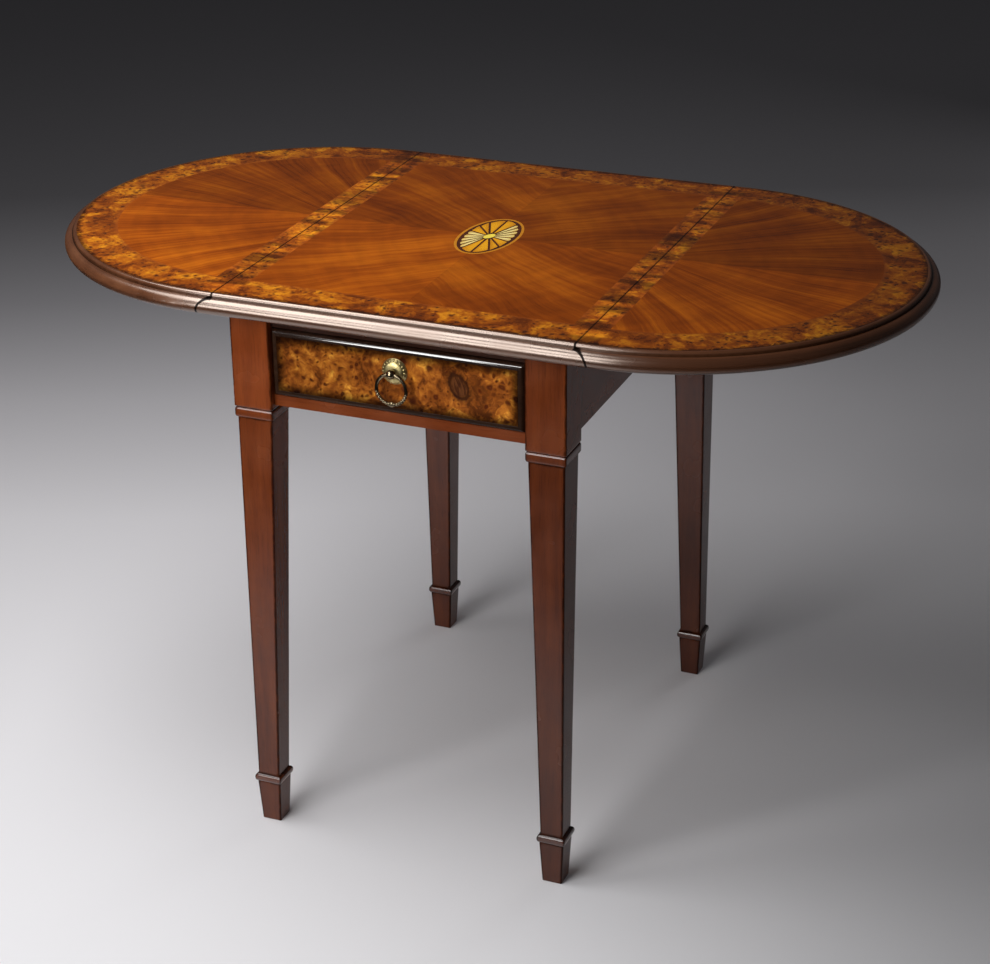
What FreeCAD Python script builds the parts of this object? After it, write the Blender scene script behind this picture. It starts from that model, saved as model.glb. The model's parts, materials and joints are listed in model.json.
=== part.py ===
import FreeCAD, Part
import math
import os
from types import SimpleNamespace

import Sketcher

# Pembroke table: a fixed centre panel on four legs, two drop leaves on rule joints, one drawer.
# X runs from leaf to leaf, Y from the drawer (negative) to the back, Z up from the floor.

# Driving dimensions in millimetres.
SIZES = {
    # Top
    "top_height": 635,
    "top_thick": 22,
    "veneer_thick": 0.8,
    "half_depth": 262.5,
    "joint_half": 197.5,
    "leaf_straight": 0.5,
    "bead_flat": 1,
    "bead_radius": 3,
    "bead_drop": 4.6,
    "quirk_wide": 1,
    "band_wide": 45,
    "band_narrow": 19,
    "patera_across": 66,
    "patera_deep": 122,
    # Rule joint
    "joint_fillet": 4.5,
    "joint_radius": 14,
    "joint_gap": 0.4,
    "centre_strip": 40,
    "leaf_strip": 56,
    # Table hinges
    "hinge_place": 150,
    "hinge_wide": 36,
    "hinge_centre_long": 21,
    "hinge_leaf_long": 48,
    "hinge_thick": 1.8,
    "hinge_reach": 5.2,
    "knuckle_radius": 2.6,
    "knuckle_play": 0.4,
    "pin_radius": 1.3,
    "pin_play": 0.05,
    "hinge_play": 0.2,
    "barrel_play": 0.5,
    # Screws
    "screw_radius": 1.5,
    "screw_long": 12,
    "screw_head_radius": 3,
    "screw_head_tall": 1.5,
    "top_screw_bite": 12,
    "top_screw_radius": 2.2,
    "top_screw_head_radius": 4.5,
    "top_screw_head_tall": 3,
    "top_screw_place": 150,
    # Leaf stays
    "stay_pivot_in": 9,
    "stay_pivot_down": 50,
    "stay_leaf_out": 110,
    "stay_leaf_down": 10,
    "arm_wide": 7,
    "arm_thick": 2,
    "arm_gap": 0.2,
    "rivet_radius": 2,
    "rivet_play": 0.05,
    "rivet_head_radius": 3,
    "rivet_head_tall": 1,
    "lug_wide": 9,
    "stay_plate_thick": 1.8,
    "stay_plate_wide": 36,
    "stay_plate_tall": 28,
    # Legs
    "leg_inset_x": 34.5,
    "leg_inset_y": 29.5,
    "leg_block": 44,
    "neck_drop": 5,
    "neck_groove_wide": 41,
    "neck_groove_tall": 1,
    "neck_band_tall": 5,
    "collar_slope_tall": 3,
    "taper_wide": 39.5,
    "ankle_wide": 25.6,
    "spade_top": 51,
    "spade_collar_wide": 32.4,
    "spade_collar_tall": 3,
    "spade_wide": 27.6,
    "foot_wide": 22.4,
    "foot_out_x": 7,
    "foot_out_y": 11,
    # Rails
    "apron_tall": 100,
    "rail_thick": 18,
    "rail_set": 7,
    "lower_rail_tall": 12,
    "upper_rail_tall": 13,
    "front_rail_deep": 30,
    "tenon_thick": 8,
    "tenon_long": 16,
    "tenon_shoulder": 10,
    "front_tenon_shoulder": 2,
    "front_tenon_inset": 6,
    # Drawer
    "drawer_set": 2,
    "drawer_side_play": 1.2,
    "drawer_lift_play": 0.6,
    "drawer_slide_play": 0.2,
    "drawer_back_room": 85,
    "drawer_bead_wide": 7,
    "drawer_bead_thick": 8,
    "drawer_bead_round": 6,
    "drawer_core_thick": 12,
    "drawer_side_thick": 10,
    "drawer_side_tall": 66,
    "drawer_back_thick": 10,
    "drawer_bottom_thick": 5,
    "drawer_bottom_up": 9,
    "groove_deep": 4,
    "runner_wide": 27,
    "guide_play": 0.6,
    "guide_tall": 20,
    "kicker_wide": 34,
    "kicker_play": 0.8,
    "stop_play": 0.3,
    "stop_wide": 7,
    "stop_long": 20,
    "stop_tall": 15,
    # Ring pull
    "pull_lift": 10.5,
    "rosette_radius": 14,
    "rosette_rim_thick": 2,
    "rosette_dome_radius": 11.5,
    "rosette_dome_tall": 3,
    "eye_out": 9.5,
    "eye_radius": 5,
    "eye_bore_radius": 2.6,
    "stem_radius": 2.4,
    "stem_tail": 6,
    "nut_radius": 5,
    "nut_tall": 4,
    "ring_radius": 16.4,
    "ring_wire_radius": 2,
    # How far cutting shapes run past what they cut
    "overrun": 5,
}

QUARTER_TURN = 90
HALF_TURN = 180
NUT_SIDES = 6

doc = FreeCAD.newDocument("pembroke_table")
sheet = doc.addObject("Spreadsheet::Sheet", "Sizes")
for row, (alias, number) in enumerate(SIZES.items(), start=1):
    sheet.set(f"A{row}", str(number))
    sheet.setAlias(f"A{row}", alias)
doc.recompute()


class Length:
    """A length with its present value and the formula that ties it to the sheet."""

    def __init__(self, value, formula):
        self.value = value
        self.formula = formula

    def __add__(self, other):
        return Length(self.value + other.value, f"({self.formula} + {other.formula})")

    def __sub__(self, other):
        return Length(self.value - other.value, f"({self.formula} - {other.formula})")

    def __mul__(self, share):
        return Length(self.value * share, f"({self.formula} * ({share}))")

    def __truediv__(self, share):
        return Length(self.value / share, f"({self.formula} / {share})")

    def __neg__(self):
        return Length(-self.value, f"(0 - {self.formula})")


size = SimpleNamespace(**{
    alias: Length(float(getattr(sheet, alias)), f"Sizes.{alias}") for alias in SIZES
})
zero = Length(0.0, "0")

NODES = []


def node(piece):
    """Keeps a finished sub-part, whose label names its file."""
    NODES.append(piece)
    return piece


def tie(piece, prop, length):
    piece.setExpression(prop, length.formula)


def place(piece, x, y, z):
    for axis, length in zip("xyz", (x, y, z)):
        tie(piece, f"Placement.Base.{axis}", length)
    return piece


def even(half):
    """A span with its middle on the middle of the table."""
    return (-half, half)


def around(middle, half):
    return (middle - half, middle + half)


def box(name, x, y, z):
    """Box between a low and a high place on each axis."""
    piece = doc.addObject("Part::Box", name)
    for prop, (low, high) in zip(("Length", "Width", "Height"), (x, y, z)):
        tie(piece, prop, high - low)
    return place(piece, x[0], y[0], z[0])


# Turns a shape whose own axis is Z to lie along another direction.
X_AXIS = FreeCAD.Vector(1, 0, 0)
Y_AXIS = FreeCAD.Vector(0, 1, 0)
TURNS = {
    "x": FreeCAD.Rotation(Y_AXIS, QUARTER_TURN),
    "y": FreeCAD.Rotation(X_AXIS, -QUARTER_TURN),
    "-y": FreeCAD.Rotation(X_AXIS, QUARTER_TURN),
    "z": FreeCAD.Rotation(),
}


def primitive(kind, name, direction, at, **sizes):
    """Primitive whose own axis points along a direction and starts at a place."""
    piece = doc.addObject(kind, name)
    piece.Placement = FreeCAD.Placement(FreeCAD.Vector(), TURNS[direction])
    for prop, length in sizes.items():
        tie(piece, prop, length)
    return place(piece, *at)


def rod(name, radius, direction, at, long):
    return primitive("Part::Cylinder", name, direction, at, Radius=radius, Height=long)


def cross_rod(name, radius, x, y, z):
    """Rod along Y over a span, at a place in the XZ plane."""
    return rod(name, radius, "y", (x, y[0], z), y[1] - y[0])


def frustum(name, low, high):
    """Square frustum between two squares, each (centre x, centre y, width, height above floor)."""
    piece = doc.addObject("Part::Wedge", name)
    piece.Placement = FreeCAD.Placement(FreeCAD.Vector(), TURNS["-y"])
    for mark, (x, y, wide, _) in (("", low), ("2", high)):
        tie(piece, f"X{mark}min", x - wide / 2)
        tie(piece, f"X{mark}max", x + wide / 2)
        tie(piece, f"Z{mark}min", -(y + wide / 2))
        tie(piece, f"Z{mark}max", -(y - wide / 2))
    tie(piece, "Ymin", low[3])
    tie(piece, "Ymax", high[3])
    return piece


def fuse(name, *pieces):
    piece = doc.addObject("Part::MultiFuse", name)
    piece.Shapes = list(pieces)
    piece.Refine = True
    return piece


def common(name, *pieces):
    piece = doc.addObject("Part::MultiCommon", name)
    piece.Shapes = list(pieces)
    return piece


def group(name, pieces):
    piece = doc.addObject("Part::Compound", name)
    piece.Links = list(pieces)
    return piece


def cut(name, piece, *tools):
    """The piece with each tool taken out of it in turn."""
    for number, tool in enumerate(tools, start=1):
        last = number == len(tools)
        result = doc.addObject("Part::Cut", name if last else f"{name}_cut_{number}")
        result.Base = piece
        result.Tool = tool
        piece = result
    return piece


def mirrored(name, source, *axes):
    """Copy mirrored through the middle of the table, across each axis named."""
    for number, axis in enumerate(axes, start=1):
        last = number == len(axes)
        piece = doc.addObject("Part::Mirroring", name if last else f"{name}_mirror_{number}")
        piece.Source = source
        piece.Normal = X_AXIS if axis == "x" else Y_AXIS
        source = piece
    return source


def body_with_sketch(name, role):
    body = doc.addObject("PartDesign::Body", name)
    sketch = body.newObject("Sketcher::SketchObject", name + "_outline")
    plane = next(feature for feature in body.Origin.OriginFeatures if feature.Role == role)
    sketch.AttachmentSupport = [(plane, "")]
    sketch.MapMode = "FlatFace"
    return body, sketch


def pin_point(sketch, index, point, across, up):
    """Fixes a point of the sketch at its distances from the sketch's origin."""
    for kind, length in (("DistanceX", across), ("DistanceY", up)):
        number = sketch.addConstraint(Sketcher.Constraint(kind, -1, 1, index, point, length.value))
        tie(sketch, f"Constraints[{number}]", length)


def fix_radius(sketch, index, radius):
    number = sketch.addConstraint(Sketcher.Constraint("Radius", index, radius.value))
    tie(sketch, f"Constraints[{number}]", radius)


def flat_point(across, up):
    return FreeCAD.Vector(across.value, up.value, 0)


def arc_between(centre, start, end):
    """Arc that turns anticlockwise from one point to the other."""
    first = math.atan2(start.y - centre.y, start.x - centre.x)
    second = math.atan2(end.y - centre.y, end.x - centre.x)
    if second < first:
        second += math.tau
    circle = Part.Circle(centre, FreeCAD.Vector(0, 0, 1), (start - centre).Length)
    return Part.ArcOfCircle(circle, first, second)


def draw_outline(sketch, steps):
    """Closed outline; each step is a corner and, for a run that curves, (centre across, up, radius)."""
    count = len(steps)
    for index, (across, up, curve) in enumerate(steps):
        start = flat_point(across, up)
        end = flat_point(*steps[(index + 1) % count][:2])
        if curve:
            sketch.addGeometry(arc_between(flat_point(*curve[:2]), start, end))
        else:
            sketch.addGeometry(Part.LineSegment(start, end))
    for index, (across, up, curve) in enumerate(steps):
        sketch.addConstraint(Sketcher.Constraint("Coincident", index, 2, (index + 1) % count, 1))
        pin_point(sketch, index, 1, across, up)
        if curve:
            fix_radius(sketch, index, curve[2])


# Levels and faces that several pieces share
top = size.top_height
under_top = top - size.top_thick
under_veneer = top - size.veneer_thick
wood_z = (under_top, under_veneer)
veneer_z = (under_veneer, top)
apron_low = under_top - size.apron_tall
apron_z = (apron_low, under_top)
opening_low = apron_low + size.lower_rail_tall
opening_high = under_top - size.upper_rail_tall
leg_x = size.joint_half - size.leg_inset_x
leg_y = size.half_depth - size.leg_inset_y
leg_inner_x = leg_x - size.leg_block / 2
leg_inner_y = leg_y - size.leg_block / 2
leg_outer_x = leg_x + size.leg_block / 2
leg_outer_y = leg_y + size.leg_block / 2
side_rail_outer = leg_outer_x - size.rail_set
side_rail_inner = side_rail_outer - size.rail_thick
back_rail_outer = leg_outer_y - size.rail_set
back_rail_inner = back_rail_outer - size.rail_thick
front_rail_back = back_rail_outer - size.front_rail_deep
axis_x = size.joint_half
axis_z = top - size.joint_fillet - size.joint_radius
nose_radius = (size.top_thick - size.bead_drop) / 2
nose_centre = size.bead_flat + size.bead_radius + size.quirk_wide
whole_depth = size.half_depth + nose_centre + nose_radius
leaf_centre = axis_x + size.joint_radius + size.joint_gap + size.leaf_straight
leaf_end = leaf_centre + whole_depth


# Rails, each with its tenons
tenon_z = (apron_low + size.tenon_shoulder, under_top - size.tenon_shoulder)
tenon_half = size.tenon_thick / 2


def side_rail():
    """Right side rail, tenoned into the front and back legs."""
    tenon_x = around((side_rail_outer + side_rail_inner) / 2, tenon_half)
    board = box("side_rail_board", (side_rail_inner, side_rail_outer), even(leg_inner_y), apron_z)
    tenon = box("side_rail_tenon", tenon_x, even(leg_inner_y + size.tenon_long), tenon_z)
    return fuse("side_rail_solid", board, tenon)


def back_rail():
    tenon_y = around((back_rail_outer + back_rail_inner) / 2, tenon_half)
    board = box("back_rail_board", even(leg_inner_x), (back_rail_inner, back_rail_outer), apron_z)
    tenon = box("back_rail_tenon", even(leg_inner_x + size.tenon_long), tenon_y, tenon_z)
    return fuse("back_rail", board, tenon)


def front_rail(name, low, high):
    """Rail laid flat above or below the drawer."""
    inset = size.front_tenon_inset
    shoulder = size.front_tenon_shoulder
    y = (-back_rail_outer, -front_rail_back)
    board = box(name + "_board", even(leg_inner_x), y, (low, high))
    tenon_y = (y[0] + inset, y[1] - inset)
    tenon = box(
        name + "_tenon", even(leg_inner_x + size.tenon_long), tenon_y, (low + shoulder, high - shoulder)
    )
    return fuse(name, board, tenon)


right_rail = side_rail()
left_rail = mirrored("left_rail_solid", right_rail, "x")
rear_rail = node(back_rail())
lower_rail = node(front_rail("front_lower_rail", apron_low, opening_low))
upper_rail = node(front_rail("front_upper_rail", opening_high, under_top))


# Legs: block, neck band under a groove, taper mostly on the inner faces, spade foot under a collar

def leg_form():
    """The back right leg before its mortises are cut."""
    block = (leg_x, leg_y)
    foot = (leg_x + size.foot_out_x, leg_y + size.foot_out_y)
    wide = size.leg_block
    collar = size.spade_collar_wide
    slope = size.collar_slope_tall
    groove_top = apron_low - size.neck_drop
    groove_low = groove_top - size.neck_groove_tall
    band_top = groove_low - slope
    band_low = band_top - size.neck_band_tall
    taper_top = band_low - slope
    collar_low = size.spade_top + slope
    collar_top = collar_low + size.spade_collar_tall
    ankle = collar_top + slope
    groove = size.neck_groove_wide
    levels = {
        "leg_spade": (foot, size.foot_wide, zero, foot, size.spade_wide, size.spade_top),
        "leg_collar_under": (foot, size.spade_wide, size.spade_top, foot, collar, collar_low),
        "leg_collar": (foot, collar, collar_low, foot, collar, collar_top),
        "leg_collar_slope": (foot, collar, collar_top, foot, size.ankle_wide, ankle),
        "leg_taper": (foot, size.ankle_wide, ankle, block, size.taper_wide, taper_top),
        "leg_band_under": (block, size.taper_wide, taper_top, block, wide, band_low),
        "leg_band": (block, wide, band_low, block, wide, band_top),
        "leg_band_slope": (block, wide, band_top, block, groove, groove_low),
        "leg_groove": (block, groove, groove_low, block, groove, groove_top),
        "leg_top_block": (block, wide, groove_top, block, wide, under_top),
    }
    pieces = []
    for name, (low_at, low_wide, low, high_at, high_wide, high) in levels.items():
        pieces.append(frustum(name, (*low_at, low_wide, low), (*high_at, high_wide, high)))
    return fuse("leg_form", *pieces)


leg = leg_form()
node(cut("back_right_leg", leg, right_rail, rear_rail))
node(cut("back_left_leg", mirrored("back_left_form", leg, "x"), left_rail, rear_rail))
node(cut("front_right_leg", mirrored("front_right_form", leg, "y"), right_rail, lower_rail, upper_rail))
node(cut("front_left_leg", mirrored("front_left_form", leg, "x", "y"), left_rail, lower_rail, upper_rail))


# Screws, driven upward with their countersunk heads flush below

def screw(name, x, y, low, long, radius, head_radius, head_tall):
    at = (x, y, low)
    head = primitive(
        "Part::Cone", name + "_head", "z", at, Radius1=head_radius, Radius2=radius, Height=head_tall
    )
    return fuse(name, head, rod(name + "_shank", radius, "z", at, long))


def wood_screw(name, x, y, low):
    head = (size.screw_head_radius, size.screw_head_tall)
    return screw(name, x, y, low, size.screw_long, size.screw_radius, *head)


# Drawer runners with their guides, kickers above the drawer's sides, stops behind it
drawer_half = leg_inner_x - size.drawer_side_play
drawer_low = opening_low + size.drawer_lift_play
drawer_high = opening_high - size.drawer_lift_play
drawer_side_low = opening_low + size.drawer_slide_play
drawer_side_high = drawer_side_low + size.drawer_side_tall
drawer_face = size.drawer_set - leg_outer_y
drawer_end = back_rail_inner - size.drawer_back_room
kicker_low = drawer_side_high + size.kicker_play
kicker_inner = side_rail_inner - size.kicker_wide
runner_inner = side_rail_inner - size.runner_wide
between_rails = (-front_rail_back, back_rail_inner)
between_legs = even(leg_inner_y)


def frame_strip(name, inner, z):
    """Strip from the front rail to the back rail, widened to the side rail between the legs."""
    narrow = box(name + "_narrow", (inner, leg_inner_x), between_rails, z)
    wide = box(name + "_wide", (inner, side_rail_inner), between_legs, z)
    return narrow, wide


guide = box(
    "guide_strip",
    (drawer_half + size.guide_play, side_rail_inner),
    between_legs,
    (opening_low, opening_low + size.guide_tall),
)
runner_strips = frame_strip("runner", runner_inner, (apron_low, opening_low))
runner = node(fuse("right_drawer_runner", *runner_strips, guide))
node(mirrored("left_drawer_runner", runner, "x"))

kicker_middle = (kicker_inner + side_rail_inner) / 2
top_screw_long = under_top - kicker_low + size.top_screw_bite
top_screw_form = (size.top_screw_radius, size.top_screw_head_radius, size.top_screw_head_tall)
top_screw_spots = (-size.top_screw_place, zero, size.top_screw_place)
right_top_screws = group("right_top_screws", [
    screw(f"top_screw_{number}", kicker_middle, y, kicker_low, top_screw_long, *top_screw_form)
    for number, y in enumerate(top_screw_spots)
])
left_top_screws = mirrored("left_top_screws", right_top_screws, "x")
node(group("top_screws", (right_top_screws, left_top_screws)))

kicker_blank = fuse("kicker_blank", *frame_strip("kicker", kicker_inner, (kicker_low, under_top)))
kicker = node(cut("right_drawer_kicker", kicker_blank, right_top_screws))
node(mirrored("left_drawer_kicker", kicker, "x"))

stop_start = drawer_end + size.stop_play
right_stop = box(
    "right_stop",
    (runner_inner, runner_inner + size.stop_wide),
    (stop_start, stop_start + size.stop_long),
    (opening_low, opening_low + size.stop_tall),
)
node(group("drawer_stops", (right_stop, mirrored("left_stop", right_stop, "x"))))


# Rule joint: ovolo on the centre panel, cove on the leaf, both round the hinge axis
joint_y = even(whole_depth + size.overrun)


def ovolo():
    """The rounded step that the right edge of the centre panel ends in."""
    bar = cross_rod("ovolo_bar", size.joint_radius, axis_x, joint_y, axis_z)
    room = box("ovolo_room", (axis_x, axis_x + size.joint_radius), joint_y, (under_top, top))
    return common("ovolo", bar, room)


def leaf_clear():
    """All the room that the right leaf leaves to the centre panel."""
    low = under_top - size.overrun
    cove_radius = size.joint_radius + size.joint_gap
    bar = cross_rod("cove_bar", cove_radius, axis_x, joint_y, axis_z)
    beside = box("fillet_room", (-leaf_end, axis_x + size.joint_gap), joint_y, (low, top + size.overrun))
    below = box("cove_room", (axis_x, axis_x + cove_radius), joint_y, (low, axis_z))
    return fuse("leaf_clear", bar, beside, below)


right_ovolo = ovolo()
right_clear = leaf_clear()

# Table hinges of the right leaf: knuckles on the axis of the rule joint, plates flush below.
# Where the screws of a plate sit, as shares of its length and of its half width.
SCREW_SPOT_SHARES = ((0.45, -0.62), (0.8, 0), (0.45, 0.62))
plate_z = (under_top, under_top + size.hinge_thick)


def span_x(side, near, far):
    """Span on one side of the hinge axis, between two distances from it."""
    if side == "leaf":
        return (axis_x + near, axis_x + far)
    return (axis_x - far, axis_x - near)


def hinge_plate(name, side, long, y, knuckles):
    """Plate that reaches away from the axis, with the knuckles that belong to it."""
    pieces = [box(name + "_flat", span_x(side, size.hinge_reach, long), y, plate_z)]
    for number, knuckle_y in enumerate(knuckles):
        pieces.append(box(f"{name}_tab_{number}", span_x(side, zero, size.hinge_reach), knuckle_y, plate_z))
        pieces.append(cross_rod(f"{name}_knuckle_{number}", size.knuckle_radius, axis_x, knuckle_y, axis_z))
    return fuse(name, *pieces)


def hinge_screws(name, side, long, y):
    screws = []
    for number, (out_share, side_share) in enumerate(SCREW_SPOT_SHARES):
        x = span_x(side, long * out_share, long)[0 if side == "leaf" else 1]
        screws.append(wood_screw(f"{name}_{number}", x, y + size.hinge_wide / 2 * side_share, under_top))
    return screws


hinge = SimpleNamespace(
    centre_plates=[], leaf_plates=[], pins=[], centre_screws=[], leaf_screws=[], centre_beds=[], leaf_beds=[]
)
for name, middle in (("front_hinge", -size.hinge_place), ("back_hinge", size.hinge_place)):
    low, high = around(middle, size.hinge_wide / 2)
    knuckle_half = size.hinge_wide / 6 - size.knuckle_play / 2
    knuckle_long = knuckle_half * 2
    outer_knuckles = ((low, low + knuckle_long), (high - knuckle_long, high))
    middle_knuckle = (around(middle, knuckle_half),)
    pin = cross_rod(name + "_pin", size.pin_radius, axis_x, (low, high), axis_z)
    bore = cross_rod(name + "_bore", size.pin_radius + size.pin_play, axis_x, (low, high), axis_z)
    centre_screws = hinge_screws(name + "_centre_screw", "centre", size.hinge_centre_long, middle)
    leaf_screws = hinge_screws(name + "_leaf_screw", "leaf", size.hinge_leaf_long, middle)
    ends = (low, high)
    centre_blank = hinge_plate(name + "_centre", "centre", size.hinge_centre_long, ends, outer_knuckles)
    leaf_blank = hinge_plate(name + "_leaf", "leaf", size.hinge_leaf_long, ends, middle_knuckle)
    hinge.centre_plates.append(cut(name + "_centre_plate", centre_blank, pin, *centre_screws))
    hinge.leaf_plates.append(cut(name + "_leaf_plate", leaf_blank, bore, *leaf_screws))
    hinge.pins.append(pin)
    hinge.centre_screws += centre_screws
    hinge.leaf_screws += leaf_screws
    room_y = (low - size.hinge_play, high + size.hinge_play)
    bed_low = under_top - size.overrun
    bed_z = (bed_low, plate_z[1])
    hinge.centre_beds += [
        box(name + "_centre_bed", span_x("centre", zero, size.hinge_centre_long), ends, bed_z),
        box(
            name + "_ovolo_pass",
            (axis_x - size.hinge_reach, axis_x + size.joint_radius + size.overrun),
            room_y,
            (bed_low, plate_z[1] + size.hinge_play),
        ),
        cross_rod(name + "_barrel_room", axis_z - under_top + size.barrel_play, axis_x, room_y, axis_z),
    ]
    hinge.leaf_beds.append(
        box(name + "_leaf_bed", span_x("leaf", zero, size.hinge_leaf_long), ends, bed_z)
    )

right_centre_plates = node(group("right_hinge_centre_plates", hinge.centre_plates))
node(mirrored("left_hinge_centre_plates", right_centre_plates, "x"))
right_leaf_plates = node(group("right_hinge_leaf_plates", hinge.leaf_plates))
node(mirrored("left_hinge_leaf_plates", right_leaf_plates, "x"))
right_pins = group("right_pins", hinge.pins)
node(group("hinge_pins", (right_pins, mirrored("left_pins", right_pins, "x"))))


# Friction stay under each leaf: arm and link make a parallelogram with the hinge axis,
# so the arm stays parallel to the leaf and the link keeps its own direction.
rail_pivot = (axis_x - size.stay_pivot_in, axis_z - size.stay_pivot_down)
leaf_pivot = (axis_x + size.stay_leaf_out, axis_z - size.stay_leaf_down)
elbow = (leaf_pivot[0] - size.stay_pivot_in, leaf_pivot[1] - size.stay_pivot_down)
layer = size.arm_thick + size.arm_gap
link_y = even(size.arm_thick / 2)
arm_y = (link_y[0] + layer, link_y[1] + layer)
rail_lug_y = (arm_y[0] + layer, arm_y[1] + layer)
leaf_lug_y = (link_y[0] - layer, link_y[1] - layer)


def slotted_bar(name, start, end, y, wide):
    """Flat bar with round ends between two pivots given as (x, z)."""
    body, sketch = body_with_sketch(name, "XZ_Plane")
    radius = wide / 2
    centres = (flat_point(*start), flat_point(*end))
    along = centres[1] - centres[0]
    side = FreeCAD.Vector(-along.y, along.x, 0)
    side.Length = radius.value
    for centre, offset in zip(centres, (side, -side)):
        sketch.addGeometry(arc_between(centre, centre + offset, centre - offset))
    sketch.addGeometry(Part.LineSegment(centres[0] - side, centres[1] - side))
    sketch.addGeometry(Part.LineSegment(centres[1] + side, centres[0] + side))
    for arc, arc_end, line, line_end in ((0, 2, 2, 1), (1, 1, 2, 2), (1, 2, 3, 1), (0, 1, 3, 2)):
        sketch.addConstraint(Sketcher.Constraint("Tangent", arc, arc_end, line, line_end))
    sketch.addConstraint(Sketcher.Constraint("Equal", 0, 1))
    pin_point(sketch, 0, 3, *start)
    pin_point(sketch, 1, 3, *end)
    fix_radius(sketch, 0, radius)
    pad = body.newObject("PartDesign::Pad", name + "_pad")
    pad.Profile = sketch
    tie(pad, "Length", y[1] - y[0])
    tie(body, "Placement.Base.y", y[1])
    return body


def rivet(name, at, y, head_y):
    """Rivet flush at one side, with a head at the other."""
    x, z = at
    shank = cross_rod(name + "_shank", size.rivet_radius, x, y, z)
    head = cross_rod(name + "_head", size.rivet_head_radius, x, (head_y, head_y + size.rivet_head_tall), z)
    return shank, head


def rivet_room(name, at, y):
    return cross_rod(name, size.rivet_radius + size.rivet_play, at[0], y, at[1])


arm_bar = slotted_bar("arm_bar", rail_pivot, elbow, arm_y, size.arm_wide)
arm_bored = cut("arm_bored", arm_bar, rivet_room("arm_bore", rail_pivot, arm_y))
elbow_rivet = rivet("elbow_rivet", elbow, (link_y[0], arm_y[1]), arm_y[1])
right_arm = node(fuse("right_stay_arm", arm_bored, *elbow_rivet))
node(mirrored("left_stay_arm", right_arm, "x"))

link_bar = slotted_bar("link_bar", leaf_pivot, elbow, link_y, size.arm_wide)
link_bores = (rivet_room("link_upper_bore", leaf_pivot, link_y), rivet_room("link_lower_bore", elbow, link_y))
right_link = node(cut("right_stay_link", link_bar, *link_bores))
node(mirrored("left_stay_link", right_link, "x"))

# Where the two screws of a stay plate sit, as shares of its half width
STAY_SCREW_SHARES = (-0.7, 0.7)
stay_plate_y = even(size.stay_plate_wide / 2)
lug_half = size.lug_wide / 2


def stay_rail_plate():
    """Plate on the side rail with the lug that the arm turns on."""
    x, z = rail_pivot
    flat_x = (side_rail_outer, side_rail_outer + size.stay_plate_thick)
    flat = box("rail_plate_flat", flat_x, stay_plate_y, around(z, size.stay_plate_tall / 2))
    lug = box("rail_lug", (side_rail_outer, x), rail_lug_y, around(z, lug_half))
    lug_end = cross_rod("rail_lug_end", lug_half, x, rail_lug_y, z)
    pivot = rivet("rail_rivet", rail_pivot, (arm_y[0], rail_lug_y[1]), rail_lug_y[1])
    return fuse("rail_plate", flat, lug, lug_end, *pivot)


def stay_rail_screws():
    """Screws driven into the side rail, their heads flush with the plate's outer face."""
    screws = []
    z = rail_pivot[1]
    outer = side_rail_outer + size.stay_plate_thick
    for number, share in enumerate(STAY_SCREW_SHARES):
        y = stay_plate_y[1] * share
        name = f"rail_screw_{number}"
        shank = rod(name + "_shank", size.screw_radius, "x", (outer - size.screw_long, y, z), size.screw_long)
        head = primitive(
            "Part::Cone", name + "_head", "x", (outer - size.screw_head_tall, y, z),
            Radius1=size.screw_radius, Radius2=size.screw_head_radius, Height=size.screw_head_tall,
        )
        screws.append(fuse(name, shank, head))
    return screws


def stay_leaf_plate():
    """Plate under the leaf with the lug that the link hangs from."""
    x, z = leaf_pivot
    flat_z = (under_top - size.stay_plate_thick, under_top)
    flat = box("leaf_plate_flat", around(x, size.stay_plate_tall / 2), stay_plate_y, flat_z)
    lug = box("leaf_lug", around(x, lug_half), leaf_lug_y, (z, under_top))
    lug_end = cross_rod("leaf_lug_end", lug_half, x, leaf_lug_y, z)
    pivot = rivet("leaf_rivet", leaf_pivot, (leaf_lug_y[0], link_y[1]), leaf_lug_y[0] - size.rivet_head_tall)
    return fuse("leaf_plate", flat, lug, lug_end, *pivot)


rail_screws = stay_rail_screws()
right_rail_plate = node(cut("right_stay_rail_plate", stay_rail_plate(), *rail_screws))
node(mirrored("left_stay_rail_plate", right_rail_plate, "x"))

leaf_plate_low = under_top - size.stay_plate_thick
leaf_plate_screws = [
    wood_screw(f"leaf_plate_screw_{number}", leaf_pivot[0], stay_plate_y[1] * share, leaf_plate_low)
    for number, share in enumerate(STAY_SCREW_SHARES)
]
right_leaf_plate = node(cut("right_stay_leaf_plate", stay_leaf_plate(), *leaf_plate_screws))
node(mirrored("left_stay_leaf_plate", right_leaf_plate, "x"))

right_fixed_screws = group("right_fixed_screws", hinge.centre_screws + rail_screws)
left_fixed_screws = mirrored("left_fixed_screws", right_fixed_screws, "x")
node(group("frame_hardware_screws", (right_fixed_screws, left_fixed_screws)))
right_leaf_screws = node(group("right_leaf_screws", hinge.leaf_screws + leaf_plate_screws))
node(mirrored("left_leaf_screws", right_leaf_screws, "x"))
drilled_rail = node(cut("right_side_rail", right_rail, *rail_screws))
node(mirrored("left_side_rail", drilled_rail, "x"))


# Edge moulding: a small bead, a quirk and a large half-round nose

def draw_edge(sketch):
    """Section of the edge moulding, drawn out from the edge of the veneer."""
    edge = size.half_depth
    nose_x = edge + nose_centre
    bead_x = edge + size.bead_flat
    bead_end = bead_x + size.bead_radius
    bead_low = top - size.bead_radius
    nose_top = top - size.bead_drop
    nose_mid = under_top + nose_radius
    nose = (nose_x, nose_mid, nose_radius)
    draw_outline(sketch, [
        (edge, under_top, None),
        (nose_x, under_top, nose),
        (nose_x + nose_radius, nose_mid, nose),
        (nose_x, nose_top, None),
        (bead_end, nose_top, None),
        (bead_end, bead_low, (bead_x, bead_low, size.bead_radius)),
        (bead_x, top, None),
        (edge, top, None),
    ])


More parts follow.
